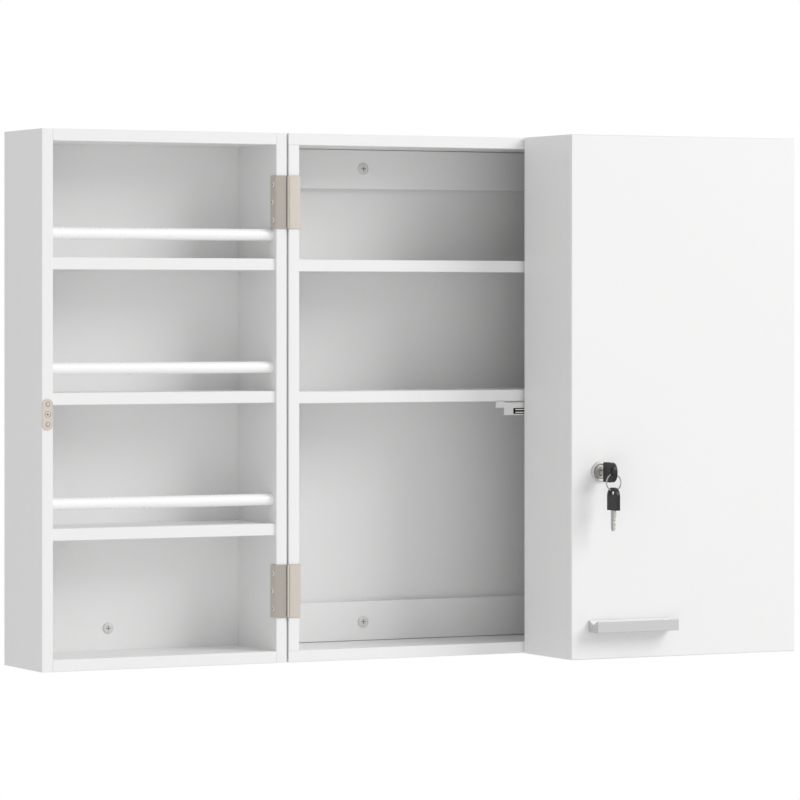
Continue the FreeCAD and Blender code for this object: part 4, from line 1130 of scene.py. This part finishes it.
def catch_lugs(sizes):
    """The bar and the posts that the catch's screws go through, each with its places."""
    spot, top, under = middle("catch_housing"), high("catch_housing").z, ear_face(sizes)
    lug = sizes.wood_screw_head + sizes.catch_lug
    bar = lug_bar(sizes, lug, top - under - sizes.catch_block_drop)
    post = round_bar(lug, top - under, LUG_SIDES)
    for shape, bottom in ((bar, 0), (post, (under - top) / 2)):
        soften(shape, sizes.catch_edge, 2, lambda edge: near(centre(edge).z, bottom))
    bar_place = Matrix.Translation((spot.x, spot.y, under))
    reach = ear_reach(sizes)
    posts = [Matrix.Translation((spot.x + side * reach, spot.y, (under + top) / 2)) for side in (-1, 1)]
    return (bar, [bar_place]), (post, posts)


def catch_poles(sizes):
    """The two pole plates on the magnet's sides."""
    start, end = low("catch_pole_plates"), high("catch_pole_plates")
    plates = []
    for floor in (start.z, end.z - sizes.catch_pole):
        plate = pulled([(x, y, floor) for x, y in oblong(start, end)], (0, 0, sizes.catch_pole))
        soften(plate, sizes.catch_pole_edge)
        plates.append((plate, AS_DRAWN))
    return gather(*plates)


def strike_bump(sizes):
    """A pressed bump in its moat, the plate's face at height 0."""
    radius, moat, deep = sizes.strike_bump, sizes.strike_moat, sizes.strike_moat_depth
    bm = bmesh.new()
    rim = carry_rim(bm, circle(bm, moat, 0, BUMP_SIDES), [(moat - deep, -deep), (radius, -deep)])
    floor = bm.faces[:]
    rise = sizes.strike_press + deep
    dome = [(radius * math.cos(turn), rise * math.sin(turn) - deep) for turn in (0.35, 0.7, 1.05, 1.35)]
    close_rim(bm, carry_rim(bm, rim, dome))
    # The moat's floor takes the darker nickel, a painted shade round the bump.
    for face in floor:
        face.material_index = RECESS
    return bm


def strike_plate(sizes, size, bumps):
    """A strike's plate with a raised rim, its back at height 0, open where its bumps go."""
    radius, half_run, face = size.x / 2, (size.z - size.x) / 2, strike_face(sizes)
    rise = sizes.strike_rim
    plate = bmesh.new()
    foot = stretched_circle(plate, radius, half_run, STRIKE_SIDES)
    rim = carry_stretched(plate, foot, radius, half_run, [
        (radius, face), (radius - rise * 0.3, face + rise * 0.3), (radius - rise, face + rise * 0.5),
        (radius - rise * 2, face + rise * 0.5), (radius - rise * 2.5, face),
    ])
    hole = circle(plate, sizes.strike_hole, face, STRIKE_HOLE_SIDES)
    moats = [edge for bump in bumps for edge in circle(plate, sizes.strike_moat, face, BUMP_SIDES, bump)]
    fill_between(plate, rim + hole + moats)
    fill_between(plate, foot + carry_rim(plate, hole, [(sizes.strike_hole, 0)]))
    return plate


def upright_facing(way):
    """Turns a plate drawn flat to stand upright and face a way."""
    turn = Matrix.Rotation(math.pi / 2, 4, "X")
    return turn if way.y < 0 else Matrix.Rotation(math.pi, 4, "Z") @ turn


class CABINET_OT_catch(bpy.types.Operator):
    """Finish the magnetic catch and make the strike plates"""

    bl_idname = "cabinet.catch"
    bl_label = "Make Catch and Strikes"

    def execute(self, context):
        sizes = context.scene.cabinet_sizes
        case = gather((catch_front(sizes), AS_DRAWN), (catch_block(sizes), AS_DRAWN), *catch_lugs(sizes))
        # The magnet's black is also the painted shade on the window's walls.
        finishes = ["Catch White", "Magnet Black And Painted Shade"]
        add_piece("catch_case", case, finishes, "cabinet", "white_catch", "catch_housing")
        paint(["catch_magnet"], "Magnet Black And Painted Shade")
        poles = catch_poles(sizes)
        add_piece("catch_pole_bars", poles, ["Pole Steel"], "cabinet", "pole_steel", "catch_pole_plates")
        for side, way in DOOR_INSIDES.items():
            node = f"{side}_door_strike"
            steps = [(0, end * sizes.strike_bump_step) for end in (-1, 1)]
            place = Matrix.Translation(strike_seat(side)) @ upright_facing(way)
            bumps = [place @ Matrix.Translation((*step, strike_face(sizes))) for step in steps]
            strike = gather((strike_plate(sizes, span(node), steps), [place]), (strike_bump(sizes), bumps))
            # The strike's moats take the darker nickel, a painted shade.
            finishes = ["Strike Nickel", "Darker Nickel Painted Shade"]
            add_piece(f"{side}_strike_plate", strike, finishes, f"{side}_door", "satin_nickel", node)
        return {"FINISHED"}


# Lock and keys


def lock_rosette(sizes, back):
    """The lock's body and its dished rosette, the door's face at height 0."""
    edge, height, dish = sizes.rosette_radius, sizes.rosette_height, sizes.dish_radius
    body, bore, chamfer = sizes.lock_body, sizes.lock_bore, sizes.lock_chamfer
    bm = bmesh.new()
    carry_rim(bm, circle(bm, bore, back, ROSETTE_SIDES), [
        (body - chamfer, back), (body, back + chamfer), (body, 0), (edge, 0), (edge, height * 0.55),
        (edge * 0.985, height * 0.78), (edge * 0.95, height * 0.93), (edge * 0.905, height),
        (dish * 1.06, height), (dish * 1.015, height * 0.975), (dish * 0.98, height * 0.91),
        (sizes.dish_floor, height * 0.55), (sizes.plug_seat, height * 0.40),
        (bore, height * 0.36), (bore, back),
    ])
    return bm


def lock_plug(sizes, back):
    """The plug with its keyway, the door's face at height 0."""
    height, face, radius = sizes.rosette_height, sizes.plug_face, sizes.plug_radius
    front, ease = height - sizes.plug_recess, sizes.plug_face_edge
    half = Vector((sizes.keyway_width, sizes.keyway_height)) / 2
    bm = bmesh.new()
    rim = sunk_face(bm, oblong(-half, half), face - ease, front, sizes.keyway_depth, 1, PLUG_SIDES)
    rim = carry_rim(bm, rim, [
        (face - ease * 3 / 11, front - ease * 4 / 11), (face, front - ease * 10 / 11), (face, height * 0.42),
        (radius, height * 0.38), (radius, back - sizes.plug_proud),
    ])
    close_rim(bm, rim)
    return bm


def plug_end(sizes, back, tail):
    """The plug's square end, which the cam sits on."""
    side = sizes.plug_square
    bm = bmesh.new()
    bmesh.ops.create_cube(bm, size=1)
    bmesh.ops.scale(bm, vec=(side, side, back - tail), verts=bm.verts[:])
    bmesh.ops.translate(bm, vec=(0, 0, (back + tail) / 2), verts=bm.verts[:])
    soften(bm, sizes.plug_square_edge)
    return bm


class CABINET_OT_lock(bpy.types.Operator):
    """Make the cam lock's rosette and plug and finish its inner parts"""

    bl_idname = "cabinet.lock"
    bl_label = "Make Lock"

    def execute(self, context):
        sizes = context.scene.cabinet_sizes
        axis = middle("lock_housing")
        door_face = low("right_door_front").y
        back, tail = door_face - high("lock_housing").y, door_face - high("lock_plug").y
        place = [aim((axis.x, door_face, axis.z), FACING_ROOM)]
        rosette = gather((lock_rosette(sizes, back), place))
        add_piece("lock_rosette", rosette, ["Lock Chrome"], "right_door", "polished_lock", "lock_housing")
        plug = gather((lock_plug(sizes, back), place), (plug_end(sizes, back, tail), place))
        # The keyway takes the dark recess finish, a painted shade.
        finishes = ["Plug Steel", "Recess Painted Shade Dark"]
        add_piece("lock_plug_face", plug, finishes, "lock_core", "lock_plug", "lock_plug")
        paint(["lock_nut", "lock_cam", "cam_screw"], "Screw Zinc")
        return {"FINISHED"}


def head_outline(sizes, width, tall):
    """A flat key head with its corners rounded, arched at the top."""
    bm = flat_oblong(width, tall)
    for end, corner, steps in ((1, sizes.key_arch, 9), (-1, sizes.key_corner, 3)):
        corners = [
            vert for vert in bm.verts
            if near(vert.co.y * end, tall / 2) and near(abs(vert.co.x), width / 2)
        ]
        bevel(bm, corners, corner, steps, affect="VERTICES")
    return bm


def key_head(sizes):
    """A key's plastic head: hole at the origin, arch up along Y and the blade's end down."""
    thick, width, tall = span("spare_key_head")
    shift = tall / 2 - sizes.key_hole
    bm = head_outline(sizes, width, tall)
    rim = bm.edges[:]
    bmesh.ops.delete(bm, geom=bm.faces[:], context="FACES_ONLY")
    slot = circle(bm, sizes.key_slot / 2, 0, KEY_SLOT_SIDES, (0, shift))
    for side, stretch in ((1, sizes.key_slot_low), (-1, sizes.key_slot_high)):
        half = {vert for edge in slot for vert in edge.verts if vert.co.x * side > TOUCH}
        bmesh.ops.translate(bm, vec=(side * stretch, 0, 0), verts=list(half))
    fill_between(bm, rim + slot)
    pull(bm, bm.faces[:], (0, 0, thick))
    bmesh.ops.translate(bm, vec=(0, -shift, -thick / 2), verts=bm.verts[:])
    face_out(bm)
    reach = sizes.key_slot * 0.6

    def on_face(edge):
        return near(abs(centre(edge).z), thick / 2)

    def in_slot(edge):
        place = centre(edge)
        return abs(place.y) < reach and -sizes.key_slot_high - reach < place.x < sizes.key_slot_low + reach

    soften(bm, sizes.key_edge, 4, lambda edge: on_face(edge) and not in_slot(edge))
    soften(bm, sizes.key_slot_edge, 3, lambda edge: on_face(edge) and in_slot(edge))
    return bm


def key_blade(sizes, start, tip):
    """A key's blade below the head: notched along one edge and milled with a groove."""
    half, thick = sizes.blade_width / 2, sizes.blade_thickness
    side = sizes.blade_tip_side
    outline = [(-half, start), (half, start), (half, tip * 0.62)]
    outline += [(half - depth, tip * along) for along, depth in BLADE_NOTCHES]
    outline += [
        (side, tip), (side - sizes.blade_tip, tip),
        (-half + sizes.blade_ease, tip * 0.96), (-half, tip * 0.91),
    ]
    bm = pulled([(x, y, -thick / 2) for x, y in outline], (0, 0, thick))
    groove_far, groove_near = -sizes.blade_groove_far, -sizes.blade_groove_near
    for line in (groove_far, groove_near):
        geom = bm.verts[:] + bm.edges[:] + bm.faces[:]
        bmesh.ops.bisect_plane(bm, geom=geom, plane_co=(line, 0, 0), plane_no=(1, 0, 0))
    bm.normal_update()
    strips = [
        face for face in bm.faces
        if abs(face.normal.z) > 0.9 and groove_far < face.calc_center_median().x < groove_near
    ]
    bmesh.ops.inset_region(
        bm, faces=strips, thickness=sizes.blade_groove_wall, depth=-sizes.blade_groove_depth,
        use_even_offset=True,
    )
    # The groove's floor takes the darker metal, a painted shade.
    for strip in strips:
        strip.material_index = RECESS
    return bm


def split_ring(sizes):
    """The coil of flattened wire that holds the keys, its axis along Z."""
    wire_width = span("key_ring").y
    mean = span("key_ring").x / 2 - wire_width / 2
    section = Matrix.Translation((mean, 0, 0)) @ Matrix.Rotation(math.pi / 2, 4, "X")
    section @= Matrix.Diagonal((wire_width / 2, wire_width / 4, 1, 1))
    coil = bmesh.new()
    bmesh.ops.create_circle(coil, cap_ends=True, segments=WIRE_SIDES, radius=1, matrix=section)
    steps = int(RING_STEPS * sizes.ring_turns)
    bmesh.ops.spin(
        coil, geom=coil.faces[:], cent=(0, 0, 0), axis=(0, 0, 1), dvec=(0, 0, wire_width / 2 / RING_STEPS),
        angle=math.tau * steps / RING_STEPS, steps=steps, use_duplicate=False,
    )
    bmesh.ops.translate(coil, vec=(0, 0, -wire_width / 4), verts=coil.verts[:])
    return coil


class CABINET_OT_keys(bpy.types.Operator):
    """Make the key in the lock, the split ring and the spare key"""

    bl_idname = "cabinet.keys"
    bl_label = "Make Keys"

    def execute(self, context):
        sizes = context.scene.cabinet_sizes
        hole = middle("key_head")
        hole.y = low("key_head").y + sizes.key_hole
        hung_hole = middle("spare_key_head")
        hung_hole.z = high("spare_key_head").z - sizes.key_hole
        hanging = Matrix(((0, 0, -1, 0), (-1, 0, 0, 0), (0, 1, 0, 0), (0, 0, 0, 1)))
        in_lock = Matrix.Translation(hole) @ Matrix.Rotation(math.pi / 2, 4, "X") @ hanging
        hung = Matrix.Translation(hung_hole) @ hanging
        blade_start = hole.y - high("key_head").y + sizes.blade_lap
        blade_tip = hole.y - high("key_blade").y
        for key, place in (("key", in_lock), ("spare_key", hung)):
            grip = gather((key_head(sizes), [place]))
            add_piece(f"{key}_grip", grip, ["Key Head Black"], key, "black_key_head", f"{key}_head")
            blade = gather((key_blade(sizes, blade_start, blade_tip), [place]))
            add_piece(f"{key}_steel", blade, ["Key Steel", "Key Groove Painted Shade"], key, "key_steel", f"{key}_blade")
        ring = gather((split_ring(sizes), [aim(middle("key_ring"), FACING_ROOM)]))
        add_piece("key_split_ring", ring, ["Ring Steel"], "key_ring", "polished_lock", "key_ring")
        return {"FINISHED"}


# Stage


def seen_rays(tree):
    """Picks the rays that show the background."""
    path = tree.nodes.new("ShaderNodeLightPath")
    first = tree.nodes.new("ShaderNodeMath")
    second = tree.nodes.new("ShaderNodeMath")
    first.operation = second.operation = "MAXIMUM"
    wire(
        tree,
        (path.outputs["Is Camera Ray"], first.inputs[0]),
        (path.outputs["Is Glossy Ray"], first.inputs[1]),
        (first.outputs[0], second.inputs[0]),
        (path.outputs["Is Transmission Ray"], second.inputs[1]),
    )
    return second.outputs[0]


def mix_shaders(tree, share, first, second):
    """Mixes two shaders' outputs by a share of the second."""
    mix = tree.nodes.new("ShaderNodeMixShader")
    wire(tree, (share, mix.inputs["Fac"]), (first, mix.inputs[1]), (second, mix.inputs[2]))
    return mix.outputs[0]


def floor_finish(stage):
    """Pale floor that fades to white at its rim and can be looked through from below."""
    material = bpy.data.materials.new("Studio Floor")
    tree, output = emptied(material, "ShaderNodeOutputMaterial")
    matt = add_node(tree, "ShaderNodeBsdfDiffuse", Color=(0.8, 0.8, 0.8, 1))
    white = add_node(tree, "ShaderNodeEmission", Color=(1, 1, 1, 1), Strength=1)
    clear = tree.nodes.new("ShaderNodeBsdfTransparent")
    place = tree.nodes.new("ShaderNodeTexCoord")
    flat = tree.nodes.new("ShaderNodeVectorMath")
    flat.operation = "MULTIPLY"
    flat.inputs[1].default_value = (1, 1, 0)
    distance = tree.nodes.new("ShaderNodeVectorMath")
    distance.operation = "LENGTH"
    fade = add_node(tree, "ShaderNodeMapRange", **{"From Min": stage.fade_start, "From Max": stage.fade_end})
    fade.interpolation_type = "SMOOTHSTEP"
    shown = tree.nodes.new("ShaderNodeMath")
    shown.operation = "MULTIPLY"
    side = tree.nodes.new("ShaderNodeNewGeometry")
    wire(
        tree,
        (place.outputs["Object"], flat.inputs[0]),
        (flat.outputs[0], distance.inputs[0]),
        (distance.outputs["Value"], fade.inputs["Value"]),
        (fade.outputs["Result"], shown.inputs[0]),
        (seen_rays(tree), shown.inputs[1]),
    )
    above = mix_shaders(tree, shown.outputs[0], matt.outputs[0], white.outputs[0])
    both = mix_shaders(tree, side.outputs["Backfacing"], above, clear.outputs[0])
    wire(tree, (both, output.inputs["Surface"]))
    return material


class CABINET_OT_stage(bpy.types.Operator):
    """Set the floor, the soft studio light and the camera"""

    bl_idname = "cabinet.stage"
    bl_label = "Set Stage"

    def execute(self, context):
        scene, stage = context.scene, context.scene.cabinet_stage
        self.room(scene, stage)
        self.floor(scene, stage)
        self.soft_light(
            scene, "Key Light", stage.key_way, stage.key_distance, stage.key_size, stage.key_power)
        self.soft_light(
            scene, "Fill Light", stage.fill_way, stage.fill_distance, stage.fill_size, stage.fill_power)
        self.camera(scene, stage)
        scene.view_settings.view_transform = "Standard"
        return {"FINISHED"}

    def room(self, scene, stage):
        """Even light all round, shown as plain white."""
        scene.world = bpy.data.worlds.new("Studio")
        tree, output = emptied(scene.world, "ShaderNodeOutputWorld")
        lit = add_node(tree, "ShaderNodeBackground", Color=(1, 1, 1, 1), Strength=stage.ambient)
        seen = add_node(tree, "ShaderNodeBackground", Color=(1, 1, 1, 1), Strength=1)
        either = mix_shaders(tree, seen_rays(tree), lit.outputs[0], seen.outputs[0])
        wire(tree, (either, output.inputs["Surface"]))

    def floor(self, scene, stage):
        """A round floor under the cabinet that faces up."""
        bm = bmesh.new()
        place = Matrix.Translation((0, 0, -stage.floor_drop))
        bmesh.ops.create_circle(
            bm, cap_ends=True, segments=FLOOR_SIDES, radius=stage.floor_radius, matrix=place)
        bm.normal_update()
        bmesh.ops.reverse_faces(bm, faces=[face for face in bm.faces if face.normal.z < 0])
        mesh = bpy.data.meshes.new("studio_floor")
        bm.to_mesh(mesh)
        bm.free()
        mesh.materials.append(floor_finish(stage))
        floor = bpy.data.objects.new("studio_floor", mesh)
        scene.collection.objects.link(floor)

    def soft_light(self, scene, name, way, distance, size, power):
        """A square lamp that looks at the cabinet from one way."""
        lamp = bpy.data.lights.new(name, "AREA")
        lamp.shape = "SQUARE"
        lamp.size = size
        lamp.energy = power
        stand = bpy.data.objects.new(name, lamp)
        way = Vector(way).normalized()
        stand.location = way * distance
        stand.rotation_euler = way.to_track_quat("Z", "Y").to_euler()
        scene.collection.objects.link(stand)

    def camera(self, scene, stage):
        """The camera at the photo's place."""
        view = bpy.data.cameras.new("Camera")
        view.sensor_width = 36
        view.lens = stage.lens
        view.shift_y = stage.shift
        view.clip_end = 50
        camera = bpy.data.objects.new("Camera", view)
        camera.location = stage.place
        camera.rotation_euler = (math.pi / 2, 0, stage.heading)
        scene.collection.objects.link(camera)
        scene.camera = camera


STEPS = (
    CABINET_OT_finishes,
    CABINET_OT_boards,
    CABINET_OT_rails,
    CABINET_OT_hinges,
    CABINET_OT_screws,
    CABINET_OT_handles,
    CABINET_OT_catch,
    CABINET_OT_lock,
    CABINET_OT_keys,
    CABINET_OT_stage,
)


class CABINET_PT_dressing(bpy.types.Panel):
    """Steps that dress the cabinet"""

    bl_idname = "CABINET_PT_dressing"
    bl_label = "Medicine Cabinet"
    bl_space_type = "VIEW_3D"
    bl_region_type = "UI"
    bl_category = "Cabinet"

    def draw(self, context):
        for step in STEPS:
            self.layout.operator(step.bl_idname)
        scene = context.scene
        for settings in (scene.cabinet_sizes, scene.cabinet_colours, scene.cabinet_stage):
            box = self.layout.box()
            for name in settings.bl_rna.properties.keys():
                if name not in ("rna_type", "name"):
                    box.prop(settings, name)


CLASSES = (CabinetSizes, CabinetColours, CabinetStage) + STEPS + (CABINET_PT_dressing,)


def register():
    for each in CLASSES:
        bpy.utils.register_class(each)
    bpy.types.Scene.cabinet_sizes = PointerProperty(type=CabinetSizes)
    bpy.types.Scene.cabinet_colours = PointerProperty(type=CabinetColours)
    bpy.types.Scene.cabinet_stage = PointerProperty(type=CabinetStage)


def unregister():
    del bpy.types.Scene.cabinet_stage
    del bpy.types.Scene.cabinet_colours
    del bpy.types.Scene.cabinet_sizes
    for each in reversed(CLASSES):
        bpy.utils.unregister_class(each)


def main():
    register()
    bpy.ops.cabinet.finishes()
    bpy.ops.cabinet.boards()
    bpy.ops.cabinet.rails()
    bpy.ops.cabinet.hinges()
    bpy.ops.cabinet.screws()
    bpy.ops.cabinet.handles()
    bpy.ops.cabinet.catch()
    bpy.ops.cabinet.lock()
    bpy.ops.cabinet.keys()
    bpy.ops.cabinet.stage()


if __name__ == "__main__":
    main()
